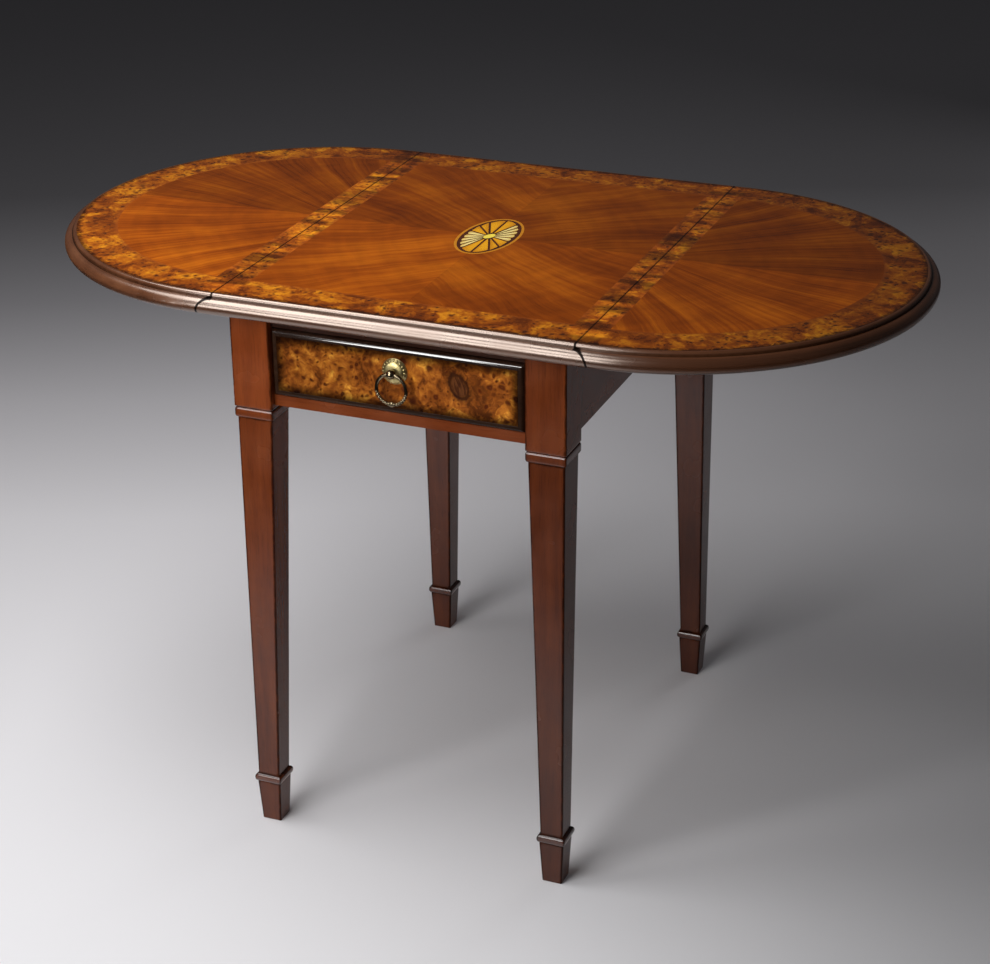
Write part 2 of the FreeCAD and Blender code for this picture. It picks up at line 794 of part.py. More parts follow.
def straight_moulding():
    """Moulding along the back, long enough for the centre panel and the straight of both leaves."""
    body, sketch = body_with_sketch("straight_moulding", "YZ_Plane")
    draw_edge(sketch)
    pad = body.newObject("PartDesign::Pad", "straight_moulding_pad")
    pad.Profile = sketch
    pad.SideType = "Symmetric"
    tie(pad, "Length", leaf_centre * 2)
    return body


def round_moulding():
    """Moulding round the half circle of the right leaf."""
    body, sketch = body_with_sketch("round_moulding", "XZ_Plane")
    draw_edge(sketch)
    turn = body.newObject("PartDesign::Revolution", "round_moulding_turn")
    turn.Profile = sketch
    upright = next(feature for feature in body.Origin.OriginFeatures if feature.Role == "Z_Axis")
    turn.ReferenceAxis = (upright, [""])
    turn.Angle = HALF_TURN
    turn.Midplane = True
    return place(body, leaf_centre, zero, zero)


back_bar = straight_moulding()
front_bar = mirrored("front_bar", back_bar, "y")
panel_box = box("panel_box", even(axis_x), joint_y, (under_top, top))
panel_room = fuse("panel_room", panel_box, right_ovolo, mirrored("left_ovolo", right_ovolo, "x"))
back_moulding = node(common("back_edge_moulding", back_bar, panel_room))
node(mirrored("front_edge_moulding", back_moulding, "y"))
rim = fuse("leaf_rim", round_moulding(), back_bar, front_bar)
right_moulding = node(cut("right_leaf_edge_moulding", rim, right_clear))
node(mirrored("left_leaf_edge_moulding", right_moulding, "x"))


# Centre panel: core between two lippings, veneered with a field, an oval patera and a crossbanding
depth_y = even(size.half_depth)
strip_inner = axis_x - size.centre_strip
core_blank = box("core_blank", even(strip_inner), depth_y, wood_z)
node(cut("top_core", core_blank, right_top_screws, left_top_screws))

ovolo_length = common("ovolo_length", right_ovolo, box("ovolo_ends", (axis_x, leaf_end), depth_y, wood_z))
lipping_flat = box("lipping_flat", (strip_inner, axis_x), depth_y, wood_z)
lipping_blank = fuse("lipping_blank", lipping_flat, ovolo_length)
right_lipping = node(cut("right_centre_lipping", lipping_blank, *hinge.centre_beds, *hinge.centre_screws))
node(mirrored("left_centre_lipping", right_lipping, "x"))


def oval():
    """Upright oval of the patera, long from front to back."""
    rim_line = doc.addObject("Part::Ellipse", "patera_rim")
    tie(rim_line, "MajorRadius", size.patera_deep / 2)
    tie(rim_line, "MinorRadius", size.patera_across / 2)
    rim_line.Placement = FreeCAD.Placement(
        FreeCAD.Vector(), FreeCAD.Rotation(FreeCAD.Vector(0, 0, 1), QUARTER_TURN)
    )
    tie(rim_line, "Placement.Base.z", under_veneer)
    inlay = doc.addObject("Part::Extrusion", "fan_patera")
    inlay.Base = rim_line
    inlay.DirMode = "Custom"
    inlay.Dir = FreeCAD.Vector(0, 0, 1)
    inlay.Solid = True
    tie(inlay, "LengthFwd", size.veneer_thick)
    return inlay


patera = node(oval())
field_x = axis_x - size.band_narrow
field_y = size.half_depth - size.band_wide
panel_field = box("panel_field", even(field_x), even(field_y), veneer_z)
node(cut("centre_field_veneer", panel_field, patera))
node(cut("centre_crossbanding", box("panel_sheet", even(axis_x), depth_y, veneer_z), panel_field))


# Right leaf: lipping with the cove, core, field and crossbanding; the left one is its mirror image

def leaf_sheet(name, radius, z):
    """Half round with a short straight, reaching back past the joint."""
    disc = rod(name + "_disc", radius, "z", (leaf_centre, zero, z[0]), z[1] - z[0])
    straight = box(name + "_straight", (zero, leaf_centre), even(radius), z)
    return fuse(name, disc, straight)


leaf_split = axis_x + size.leaf_strip
leaf_wood = leaf_sheet("leaf_wood", size.half_depth, wood_z)
strip_room = box("strip_room", (axis_x, leaf_split), joint_y, wood_z)
core_room = box("core_room", (leaf_split, leaf_end), joint_y, wood_z)
leaf_strip_blank = common("leaf_strip_blank", leaf_wood, strip_room)
leaf_core_blank = common("leaf_core_blank", leaf_wood, core_room)
leaf_strip = node(cut(
    "right_leaf_lipping", leaf_strip_blank, right_clear, *hinge.leaf_beds, *hinge.leaf_screws
))
leaf_core = node(cut("right_leaf_core", leaf_core_blank, *leaf_plate_screws))
field_room = box("field_room", (axis_x + size.joint_gap + size.band_narrow, leaf_end), joint_y, veneer_z)
leaf_field_sheet = leaf_sheet("leaf_field_sheet", field_y, veneer_z)
leaf_field = node(common("right_leaf_field_veneer", leaf_field_sheet, field_room))
leaf_top_sheet = leaf_sheet("leaf_top_sheet", size.half_depth, veneer_z)
leaf_band = node(cut("right_leaf_crossbanding", leaf_top_sheet, right_clear, leaf_field))
for name, piece in (
    ("left_leaf_lipping", leaf_strip),
    ("left_leaf_core", leaf_core),
    ("left_leaf_field_veneer", leaf_field),
    ("left_leaf_crossbanding", leaf_band),
):
    node(mirrored(name, piece, "x"))


# Drawer: veneered front in a rounded bead, two sides, back, bottom let into grooves
bead_back = drawer_face + size.drawer_bead_thick
front_back = bead_back + size.drawer_core_thick
side_inner = drawer_half - size.drawer_side_thick
bottom_low = drawer_side_low + size.drawer_bottom_up
bottom_high = bottom_low + size.drawer_bottom_thick
panel_x = even(drawer_half - size.drawer_bead_wide)
panel_z = (drawer_low + size.drawer_bead_wide, drawer_high - size.drawer_bead_wide)
veneer_back = drawer_face + size.veneer_thick
pull_z = (opening_low + opening_high) / 2 + size.pull_lift


def rounded_slab(name, x, z, round_x, round_z):
    """Slab of the bead's thickness; its front edges are rounded along the pair of sides asked for."""
    radius = size.drawer_bead_round
    round_y = drawer_face + radius
    inner_x = (x[0] + radius, x[1] - radius) if round_x else x
    inner_z = (z[0] + radius, z[1] - radius) if round_z else z
    pieces = [
        box(name + "_back", x, (round_y, bead_back), z),
        box(name + "_face", inner_x, (drawer_face, bead_back), inner_z),
    ]
    for number in (0, 1):
        if round_x:
            at = (inner_x[number], round_y, z[0])
            pieces.append(rod(f"{name}_edge_{number}", radius, "z", at, z[1] - z[0]))
        if round_z:
            at = (x[0], round_y, inner_z[number])
            pieces.append(rod(f"{name}_edge_{number}", radius, "x", at, x[1] - x[0]))
    return fuse(name, *pieces)


front_x = even(drawer_half)
front_z = (drawer_low, drawer_high)
upright_slab = rounded_slab("upright_slab", front_x, front_z, True, False)
level_slab = rounded_slab("level_slab", front_x, front_z, False, True)
slab_room = box("slab_room", front_x, (drawer_face, bead_back), front_z)
bead_slab = common("bead_slab", upright_slab, level_slab, slab_room)
bead_hole = box("bead_hole", panel_x, (drawer_face - size.overrun, bead_back + size.overrun), panel_z)
node(cut("drawer_bead", bead_slab, bead_hole))

# Ring pull: rosette, eye with its stem through the front, nut behind, ring hanging in the eye
eye_y = drawer_face - size.eye_out
eye_at = (zero, eye_y, pull_z)
stem_end = front_back + size.stem_tail
ball = primitive("Part::Sphere", "eye_ball", "z", eye_at, Radius=size.eye_radius)
stem = rod("eye_stem", size.stem_radius, "y", eye_at, stem_end - eye_y)
eye_solid = fuse("eye_solid", ball, stem)
eye_bore = rod("eye_bore", size.eye_bore_radius, "x", (-size.eye_radius, eye_y, pull_z), size.eye_radius * 2)
eye = node(cut("pull_eye", eye_solid, eye_bore))

plate = rod("rosette_plate", size.rosette_radius, "-y", (zero, drawer_face, pull_z), size.rosette_rim_thick)
dome = primitive(
    "Part::Ellipsoid", "rosette_dome", "-y", (zero, drawer_face - size.rosette_rim_thick, pull_z),
    Radius1=size.rosette_dome_tall, Radius2=size.rosette_dome_radius,
)
dome.Angle1 = 0
node(cut("pull_rosette", fuse("rosette_solid", plate, dome), eye_solid))

nut = primitive(
    "Part::Prism", "nut_blank", "y", (zero, front_back, pull_z),
    Circumradius=size.nut_radius, Height=size.nut_tall,
)
nut.Polygon = NUT_SIDES
node(cut("pull_nut", nut, stem))

ring = primitive(
    "Part::Torus", "pull_ring", "y", (zero, eye_y, pull_z - size.ring_radius),
    Radius1=size.ring_radius, Radius2=size.ring_wire_radius,
)
node(ring)

front_block = box("front_block", front_x, (bead_back, front_back), front_z)
front_panel = box("front_panel", panel_x, (veneer_back, bead_back), panel_z)
bottom_x = even(side_inner + size.groove_deep)
bottom_y = (front_back - size.groove_deep, drawer_end)
bottom = node(box("drawer_bottom", bottom_x, bottom_y, (bottom_low, bottom_high)))
node(cut("drawer_front", fuse("front_solid", front_block, front_panel), bottom, stem))
front_veneer = box("front_veneer", panel_x, (drawer_face, veneer_back), panel_z)
node(cut("drawer_front_veneer", front_veneer, stem))
side_z = (drawer_side_low, drawer_side_high)
side_board = box("side_board", (side_inner, drawer_half), (front_back, drawer_end), side_z)
drawer_side = node(cut("right_drawer_side", side_board, bottom))
node(mirrored("left_drawer_side", drawer_side, "x"))
back_y = (drawer_end - size.drawer_back_thick, drawer_end)
node(box("drawer_back", even(side_inner), back_y, (bottom_high, drawer_side_high)))

doc.recompute()
for piece in doc.Objects:
    if "Invalid" in piece.State or "Error" in piece.State:
        raise RuntimeError(f"{piece.Name} did not compute: {piece.State}")
for piece in NODES:
    shape = piece.Shape
    if shape.isNull() or not shape.isValid() or not shape.Solids:
        raise RuntimeError(f"{piece.Label} has no sound solid")
os.makedirs("parts", exist_ok=True)
for piece in NODES:
    piece.Shape.exportStep(f"parts/{piece.Label}.step")
print(len(NODES), "sub-parts")
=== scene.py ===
# %% [markdown]
# # A pembroke table, dressed on its CAD frame
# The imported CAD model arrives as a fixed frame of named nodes, and this lesson dresses it.
# Flat or plainly moulded pieces keep their CAD shape and only get a finish. Pieces whose charm is
# in their softened edges and ornament (legs, drawer bead, inlay, brass pull) are modelled here.

import json
import math

import bmesh
import bpy
from mathutils import Matrix, Vector


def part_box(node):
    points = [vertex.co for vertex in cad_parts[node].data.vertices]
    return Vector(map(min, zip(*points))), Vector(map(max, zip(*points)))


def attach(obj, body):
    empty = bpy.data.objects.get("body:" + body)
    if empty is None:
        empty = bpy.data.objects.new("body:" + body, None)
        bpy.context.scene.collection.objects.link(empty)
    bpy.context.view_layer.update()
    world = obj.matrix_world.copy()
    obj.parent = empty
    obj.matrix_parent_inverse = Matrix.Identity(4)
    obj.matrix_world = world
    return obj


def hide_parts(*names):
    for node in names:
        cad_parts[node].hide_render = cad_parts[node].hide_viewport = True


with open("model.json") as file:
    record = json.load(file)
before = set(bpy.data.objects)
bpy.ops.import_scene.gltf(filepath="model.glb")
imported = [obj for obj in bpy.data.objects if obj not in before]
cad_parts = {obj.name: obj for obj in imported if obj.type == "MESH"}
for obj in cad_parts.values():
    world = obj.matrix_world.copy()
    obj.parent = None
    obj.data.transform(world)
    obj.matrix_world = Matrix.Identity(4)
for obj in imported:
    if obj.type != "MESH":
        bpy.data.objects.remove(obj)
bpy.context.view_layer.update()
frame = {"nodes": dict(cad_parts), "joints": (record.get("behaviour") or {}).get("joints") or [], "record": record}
nodes = frame["nodes"]
scene = bpy.context.scene
MM = 0.001

# %% [markdown]
# ## The sizes that the finishes share
# Inlay, crossbanding and edge toning follow the outline of the top: a rectangle between two half
# circles. It is read from the frame's nodes rather than typed again, in millimetres like a workshop
# drawing.


# %% Outline of the top
def cad(name):
    """Lowest and highest corner of a CAD node, in millimetres."""
    low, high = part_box(name)
    return Vector(low) / MM, Vector(high) / MM


field = cad("centre_field_veneer")[1]
banding = cad("centre_crossbanding")[1]
leaf_low, leaf_high = cad("right_leaf_crossbanding")
TOP = field.z
FIELD_X, FIELD_Y = field.x, field.y
HALF_DEPTH = banding.y
JOINT = (banding.x + leaf_low.x) / 2
LEAF_TIP = leaf_high.x
LEAF_CENTRE = LEAF_TIP - HALF_DEPTH
LEAF_FIELD_X = cad("right_leaf_field_veneer")[0].x
print("joint at", round(JOINT, 1), "leaf centre", round(LEAF_CENTRE, 1), "half depth", round(HALF_DEPTH, 1))

# %% [markdown]
# ## Little helpers for finishes
# Every finish is a node material. A small class keeps one material and adds nodes to it: values are
# set on sockets, and sockets are linked to sockets. Ease returns most often: it changes a tone
# smoothly, and such a tone is four numbers, where it begins and ends and its value at both.


# %% Helper for node materials
class Finish:
    """One node material under construction."""

    def __init__(self, name):
        self.material = bpy.data.materials.new(name)
        self.material.use_nodes = True
        self.tree = self.material.node_tree
        self.shader = self.tree.nodes["Principled BSDF"]

    def plug(self, socket, value):
        """Links an output to a socket, or sets a plain value on it."""
        if isinstance(value, bpy.types.NodeSocket):
            self.tree.links.new(value, socket)
        else:
            socket.default_value = value

    def node(self, kind, inputs=None, output=0, **settings):
        """Adds a node with its settings and inputs, and gives one of its outputs."""
        made = self.tree.nodes.new(kind)
        for key, value in settings.items():
            setattr(made, key, value)
        for key, value in (inputs or {}).items():
            self.plug(made.inputs[key], value)
        return made.outputs[output]

    def math(self, operation, a, b=0.0, c=0.0):
        return self.node("ShaderNodeMath", {0: a, 1: b, 2: c}, operation=operation)

    def minus(self, a, b):
        return self.math("SUBTRACT", a, b)

    def size(self, value):
        """Value without its sign."""
        return self.math("ABSOLUTE", value)

    def larger(self, a, b):
        return self.math("MAXIMUM", a, b)

    def smaller(self, a, b):
        return self.math("MINIMUM", a, b)

    def add_share(self, value, share, base):
        """Base plus a share of a value."""
        return self.math("MULTIPLY_ADD", value, share, base)

    def times(self, first, *others):
        for other in others:
            first = self.math("MULTIPLY", first, other)
        return first

    def blend(self, *parts):
        """Sum of (value, share) pairs."""
        total = 0.0
        for value, share in parts:
            total = self.add_share(value, share, total)
        return total

    def length(self, *parts):
        """Length of a vector given by two or three numbers."""
        return self.math("SQRT", self.blend(*((part, part) for part in parts)))

    def ease(self, value, low, high, start=0.0, end=1.0):
        """Smooth step from start to end as the value goes from low to high."""
        inputs = {0: value, 1: low, 2: high, 3: start, 4: end}
        return self.node("ShaderNodeMapRange", inputs, interpolation_type="SMOOTHSTEP")

    def split(self, vector):
        parts = self.tree.nodes.new("ShaderNodeSeparateXYZ")
        self.plug(parts.inputs[0], vector)
        return tuple(parts.outputs)

    def xyz(self):
        """Place on the object, in metres."""
        return self.split(self.node("ShaderNodeTexCoord", output="Object"))

    def vector(self, x, y, z):
        return self.node("ShaderNodeCombineXYZ", {0: x, 1: y, 2: z})

    def vectors(self, operation, a, b):
        return self.node("ShaderNodeVectorMath", {0: a, 1: b}, operation=operation)

    def noise(self, vector, scale, detail=4.0, roughness=0.5, distortion=0.0, output=0):
        inputs = {"Vector": vector, "Scale": scale, "Detail": detail, "Roughness": roughness}
        return self.node("ShaderNodeTexNoise", {**inputs, "Distortion": distortion}, output=output)

    def ramp(self, value, *stops):
        """Colour ramp; each stop is (place, colour)."""
        made = self.tree.nodes.new("ShaderNodeValToRGB")
        points = made.color_ramp.elements
        while len(points) < len(stops):
            points.new(0.5)
        for point, (place, colour) in zip(points, stops):
            point.position = place
            point.color = (*colour, 1.0)
        self.plug(made.inputs[0], value)
        return made.outputs[0]

    def mix(self, share, a, b, blend="MIX"):
        """Mixes two colours; a tuple is a plain colour."""
        made = self.tree.nodes.new("ShaderNodeMix")
        made.data_type = "RGBA"
        made.blend_type = blend
        for index, value in ((0, share), (6, a), (7, b)):
            self.plug(made.inputs[index], (*value, 1.0) if isinstance(value, tuple) else value)
        return made.outputs[2]

    def shade(self, colour, *factors):
        """Colour made lighter or darker by one or more factors."""
        factor = self.times(*factors)
        grey = self.node("ShaderNodeCombineColor", {0: factor, 1: factor, 2: factor})
        return self.mix(1.0, colour, grey, "MULTIPLY")

    def bump(self, height, strength, distance):
        inputs = {"Strength": strength, "Distance": distance, "Height": height}
        self.plug(self.shader.inputs["Normal"], self.node("ShaderNodeBump", inputs))

    def finish(self, **sockets):
        """Fills the shader's sockets, named with _ for a space, and gives the material."""
        for key, value in sockets.items():
            self.plug(self.shader.inputs[key.replace("_", " ")], value)
        return self.material


print("finish helper ready")

# %% [markdown]
# ## Glaze and painted shade of the legs and of the moulded edge
# Finishers wipe dark glaze along arrises and into hollows, where the darkening is also painted shade.
# The legs carry a point attribute that says where glaze and painted shade sit. The edge of the top
# gets painted shade in its dark places: the quirk under its bead, the underside, and the S-shaped
# line of the rule joint's gap, struck from the hinge's axis. Glaze and painted shade are dull, so
# they cut the sheen too; otherwise a reflection would veil them.

# %% Glaze and painted shade of the legs
GLAZE_SHADE_TONE, UNEVEN_TONE, DULLED = (0.35, 1.0, 1.0, 0.3), (0.3, 0.7, 0.7, 1.15), 0.2
FOOT_TONE, BLOCK_TONE = (0.08, 0.48, 0.6, 0.94), (0.495, 0.512, 1.0, 1.35)
# Painted shade: legs on the right are darker, as the light falls off towards the right.
RIGHT_LEG_SHADE = (-0.1, 0.1, 0.96, 0.68)


def leg_tones(f, x, y, z, shine):
    """Glaze, painted shade in hollows and on the right legs, foot and block tones; and what sheen is left."""
    # Painted shade: this attribute also darkens the leg's hollows, where shade falls.
    glaze = f.node("ShaderNodeAttribute", output="Fac", attribute_name="glaze_and_shade")
    uneven = f.ease(f.noise(f.vector(x, y, z), 90.0, 3.0), *UNEVEN_TONE)
    glaze_and_hollow_shade = f.ease(f.times(glaze, uneven), *GLAZE_SHADE_TONE)
    tones = [glaze_and_hollow_shade, f.ease(z, *FOOT_TONE), f.ease(z, *BLOCK_TONE), f.ease(x, *RIGHT_LEG_SHADE)]
    return tones, f.ease(glaze, 0.3, 1.0, shine, DULLED * shine)


print("leg tones ready")

# %% Painted shade of the moulded edge
JOINT_AXIS = next(joint["pos_m"][2] for joint in frame["joints"] if joint["name"] == "right_leaf_drop") / MM
JOINT_ROUND, JOINT_FOOT, QUIRK_OUT = 14.2, 2.0, 4.6
# Painted shade under the edge, in the quirk and along the joint gap.
UNDER_SHADE = ((TOP - 21) * MM, (TOP - 14) * MM, 0.55, 1.0)
QUIRK_SHADE, JOINT_GAP_SHADE = (0.3 * MM, 0.9 * MM, 0.2, 1.0), (0.9 * MM, 1.5 * MM, 0.06, 1.0)
SHEEN_FROM, SHEEN_TO, SHEEN_LEFT = -20 * MM, 110 * MM, 0.3


def rim_reach(f, x, y):
    """Way out past a leaf's centre, and distance from the line between both centres."""
    out = f.larger(f.minus(f.size(x), LEAF_CENTRE * MM), 0.0)
    return out, f.length(out, y)


def rim_shade(f, x, z, reach, shine):
    """Painted shade of the moulded edge (underside, quirk and joint gap), and what is left of its sheen."""
    # Painted shade: darker in the quirk groove, under the edge and along the rule joint's gap.
    hollow_shade = f.ease(f.size(f.minus(reach, (HALF_DEPTH + QUIRK_OUT) * MM)), *QUIRK_SHADE)
    beside = f.minus(f.size(x), JOINT * MM)
    lift = f.minus(z, JOINT_AXIS * MM)
    round_line = f.size(f.minus(f.length(beside, lift), JOINT_ROUND * MM))
    elsewhere = f.larger(f.times(beside, -1.0), f.minus(f.times(lift, -1.0), JOINT_FOOT * MM))
    upright_line = f.larger(f.size(beside), f.minus(JOINT_ROUND * MM, lift))
    gap_line_shade = f.ease(f.smaller(f.larger(round_line, elsewhere), upright_line), *JOINT_GAP_SHADE)
    rubbed = f.ease(beside, SHEEN_FROM, SHEEN_TO, shine, SHEEN_LEFT * shine)
    return [f.ease(z, *UNDER_SHADE), hollow_shade, gap_line_shade], f.times(gap_line_shade, hollow_shade, rubbed)


print("rule joint at", round(JOINT_AXIS, 1), "mm")

# %% [markdown]
# ## Stained mahogany for legs, rails and mouldings
# The carcass is a plain red-brown wood under a hard clear finish. Noise stretched along the grain
# gives faint streaks, a much finer noise the pores, and a slow cloud the uneven stain. Round the edge
# of the top the grain follows the rim. That edge has a rosy sheen, strongest between the joints: a
# higher refractive index and a specular tint stand for its many coats of finish.

# %% Stained wood
STREAKS, PORES = (5.0, 95.0), (45.0, 1100.0)
PORE_TONE, PORE_BUMP, PORE_DEEP = 0.78, 0.08, 0.3
SMOOTHER, ROUGHER = 0.04, 0.06


def along_grain(f, axes, grain, scales):
    """Place stretched along the grain; scales are features per metre along and across it."""
    return f.vector(*(f.times(value, scales[axis != grain]) for axis, value in enumerate(axes)))


def stained_wood(name, grain, stain, gloss=0.22, shine=0.5, index=1.5, tint=(1, 1, 1, 1),
                 coat=0.0, coat_index=1.5, rim=False, leg_glaze_and_shade=False):
    """Wood with its grain along an axis or the rim; stain is dark, middle and light."""
    f = Finish(name)
    axes = x, y, z = f.xyz()
    tones = []
    # Legs get glaze and painted shade in their hollows; the moulded edge gets painted shade.
    if leg_glaze_and_shade:
        tones, shine = leg_tones(f, x, y, z, shine)
    if rim:
        out, reach = rim_reach(f, x, y)
        tones, shine = rim_shade(f, x, z, reach, shine)
        axes = f.add_share(f.math("ARCTAN2", out, y), HALF_DEPTH * MM, x), reach, z
    streak = f.noise(along_grain(f, axes, grain, STREAKS), 1.0, 4.0, 0.5, 0.5)
    pore = f.noise(along_grain(f, axes, grain, PORES), 1.0, 2.0, 0.6)
    cloud = f.noise(f.vector(*axes), 16.0, 3.0)
    colour = f.ramp(f.blend((streak, 0.55), (cloud, 0.45)), *zip((0.3, 0.5, 0.7), stain))
    colour = f.shade(colour, f.ease(pore, 0.34, 0.46, PORE_TONE, 1.0), *tones)
    if not rim:
        f.bump(pore, PORE_BUMP, PORE_DEEP * MM)
    rough = f.ease(cloud, 0.3, 0.7, gloss - SMOOTHER, gloss + ROUGHER)
    return f.finish(Base_Color=colour, Roughness=rough, Specular_IOR_Level=shine, IOR=index,
                    Specular_Tint=tint, Coat_Weight=coat, Coat_Roughness=0.1, Coat_IOR=coat_index)


print("stained wood ready")

# %% Woods of the table
ALONG_X, ALONG_Y, ALONG_Z = 0, 1, 2
CARCASS = ((0.095, 0.0175, 0.003), (0.155, 0.0305, 0.005), (0.215, 0.046, 0.0075))
PAINTED_RAIL_SHADE = ((0.022, 0.007, 0.0035), (0.036, 0.011, 0.005), (0.052, 0.016, 0.007))
RIM = ((0.050, 0.0175, 0.0075), (0.088, 0.030, 0.012), (0.130, 0.047, 0.018))
BEAD = ((0.012, 0.0055, 0.0035), (0.024, 0.0105, 0.0055), (0.04, 0.0175, 0.009))
LINING = ((0.24, 0.13, 0.055), (0.36, 0.21, 0.095), (0.46, 0.29, 0.14))
GROUND = ((0.05, 0.016, 0.007), (0.085, 0.028, 0.012), (0.12, 0.042, 0.018))
ROSY, HARD_FINISH = (1.0, 0.84, 0.73, 1.0), 2.6
leg_wood = stained_wood("leg mahogany", ALONG_Z, CARCASS, leg_glaze_and_shade=True)
collar_wood = stained_wood("polished collar mahogany", ALONG_Z, CARCASS, coat=0.9, leg_glaze_and_shade=True)
cross_wood = stained_wood("front rail mahogany", ALONG_X, CARCASS)
side_wood = stained_wood("side rail mahogany", ALONG_Y, CARCASS)
# Painted shade: the set-back upper rail stands in the shade of the top and gets a near-black stain for it.
shade_painted_rail = stained_wood("upper rail painted in shade", ALONG_X, PAINTED_RAIL_SHADE)
rim_wood = stained_wood("edge moulding mahogany", ALONG_X, RIM, 0.27, index=HARD_FINISH, tint=ROSY, rim=True)
bead_wood = stained_wood("dark drawer bead", ALONG_X, BEAD, shine=0.12)
bright_bead_wood = stained_wood("polished drawer bead", ALONG_X, BEAD, 0.16, coat=1.0, coat_index=HARD_FINISH)
pale_wood = stained_wood("drawer lining", ALONG_Y, LINING, 0.6)
ground_wood = stained_wood("panel underside", ALONG_Y, GROUND, 0.5)
print("stained woods:", leg_wood.name, rim_wood.name, bead_wood.name)

# %% [markdown]
# ## Book-matched field veneer
# The fields of the top are laid from matched leaves of veneer, so each quarter mirrors its
# neighbour. Taking the absolute value of the place mirrors the pattern for free. Around a pole behind
# each quarter, the angle runs across the grain and the distance along it, which makes the figure fan
# out. Matched leaves are turned over and catch the light differently; that is painted as a tone for
# each side, lighter at the front and darker at the back, and the right halves are painted darker as
# shade where the light falls off.

# %% Matched veneer
FAN_ARC, FAN_SWAY = 0.33, 0.03
BROAD_FIGURE, FINE_FIGURE, OPEN_PORES = (2.6, 34.0, 3.0), (9.0, 260.0, 3.0), (60.0, 1300.0, 1.0)
RIPPLE_ALONG, RIPPLE_ACROSS = 75.0, 16.0
SEAM_WIDE, MATCH_HALF = 0.6, 1.5
VENEER_STAIN = ((0.38, (0.140, 0.024, 0.001)), (0.50, (0.255, 0.050, 0.0018)), (0.62, (0.41, 0.098, 0.0035)))


def matched_veneer(name, pole, seed, front, back, left, right):
    """Veneer whose grain fans out from a pole (x, y) in millimetres, with painted light and shade per side."""
    f = Finish(name)
    x, y, _ = f.xyz()
    across, deep = f.minus(f.size(x), pole[0] * MM), f.minus(f.size(y), pole[1] * MM)
    reach = f.length(across, deep)
    arc = f.times(f.math("ARCTAN2", deep, across), FAN_ARC)
    arc = f.add_share(f.noise(f.vector(reach, arc, seed), 7.0, 2.0), FAN_SWAY, arc)
    broad, line, pore = (
        f.noise(f.vector(f.times(reach, along), f.times(arc, wide), seed), 1.0, detail, 0.55)
        for along, wide, detail in (BROAD_FIGURE, FINE_FIGURE, OPEN_PORES)
    )
    cloud = f.noise(f.vector(x, y, seed), 9.0, 3.0)
    ripple = f.noise(f.vector(f.times(reach, RIPPLE_ALONG), f.times(arc, RIPPLE_ACROSS), seed), 1.0, 2.0)
    colour = f.shade(
        f.ramp(f.blend((broad, 0.44), (line, 0.24), (cloud, 0.32)), *VENEER_STAIN),
        f.ease(y, -MATCH_HALF * MM, MATCH_HALF * MM, front, back),
        f.ease(x, -MATCH_HALF * MM, MATCH_HALF * MM, left, right),
        f.ease(ripple, 0.3, 0.7, 0.93, 1.07),
        f.ease(pore, 0.3, 0.45, 0.84, 1.0),
        f.ease(f.smaller(f.size(x), f.size(y)), 0.0, SEAM_WIDE * MM, 0.8, 1.0),
    )
    f.bump(pore, 0.04, 0.2 * MM)
    rough = f.ease(cloud, 0.3, 0.7, 0.17, 0.25)
    return f.finish(Base_Color=colour, Roughness=rough, Specular_IOR_Level=0.14)


CENTRE_POLE, LEAF_POLE = (-300, -160), (LEAF_FIELD_X - 110, -40)
# Painted light and shade: lighter at the front, darker at the back and on the right, where the light falls off.
centre_veneer = matched_veneer("centre field veneer", CENTRE_POLE, 1.7, 1.08, 0.82, 1.04, 0.92)
leaf_veneer = matched_veneer("leaf field veneer", LEAF_POLE, 6.2, 1.12, 0.76, 1.02, 0.84)
print("matched veneers:", centre_veneer.name, "and", leaf_veneer.name)

# %% [markdown]
# ## Burl for the crossbanding and the drawer front
# Burl has no straight grain: it is a golden, cloudy ground sown with dark eyes. Cells of a Voronoi
# pattern give the eyes, and each cell's random value decides whether it holds one. Warping the place
# with noise keeps them from looking like printed dots. Bands are pieced from small cuts, so a coarse
# second set of cells gives each cut a tone of its own.

# %% Burl
EYE_CELL = 0.55
EYE_RINGS = (
    (0.22, 0.5, 0.5, (0.17, 0.045, 0.006)),
    (0.14, 0.3, 1.0, (0.048, 0.0085, 0.003)),
    (0.0, 0.12, 0.6, (0.12, 0.035, 0.008)),
)
BURL_WARP = 0.018


def eyes(f, colour, warped, cluster, size, chance, depth):
    """Dark ringed eyes of about the given size (mm) on a colour, drawn as halo, core and heart."""
    cells = f.tree.nodes.new("ShaderNodeTexVoronoi")
    f.plug(cells.inputs["Vector"], warped)
    cells.inputs["Scale"].default_value = EYE_CELL / (size * MM)
    pick = f.node("ShaderNodeSeparateColor", {0: cells.outputs["Color"]})
    chosen = f.math("GREATER_THAN", f.blend((pick, 0.5), (cluster, 1.0)), chance)
    for full, gone, strength, tint in EYE_RINGS:
        near = f.ease(cells.outputs["Distance"], full, gone, 1.0, 0.0)
        colour = f.mix(f.times(near, chosen, strength * depth), colour, tint)
    return colour


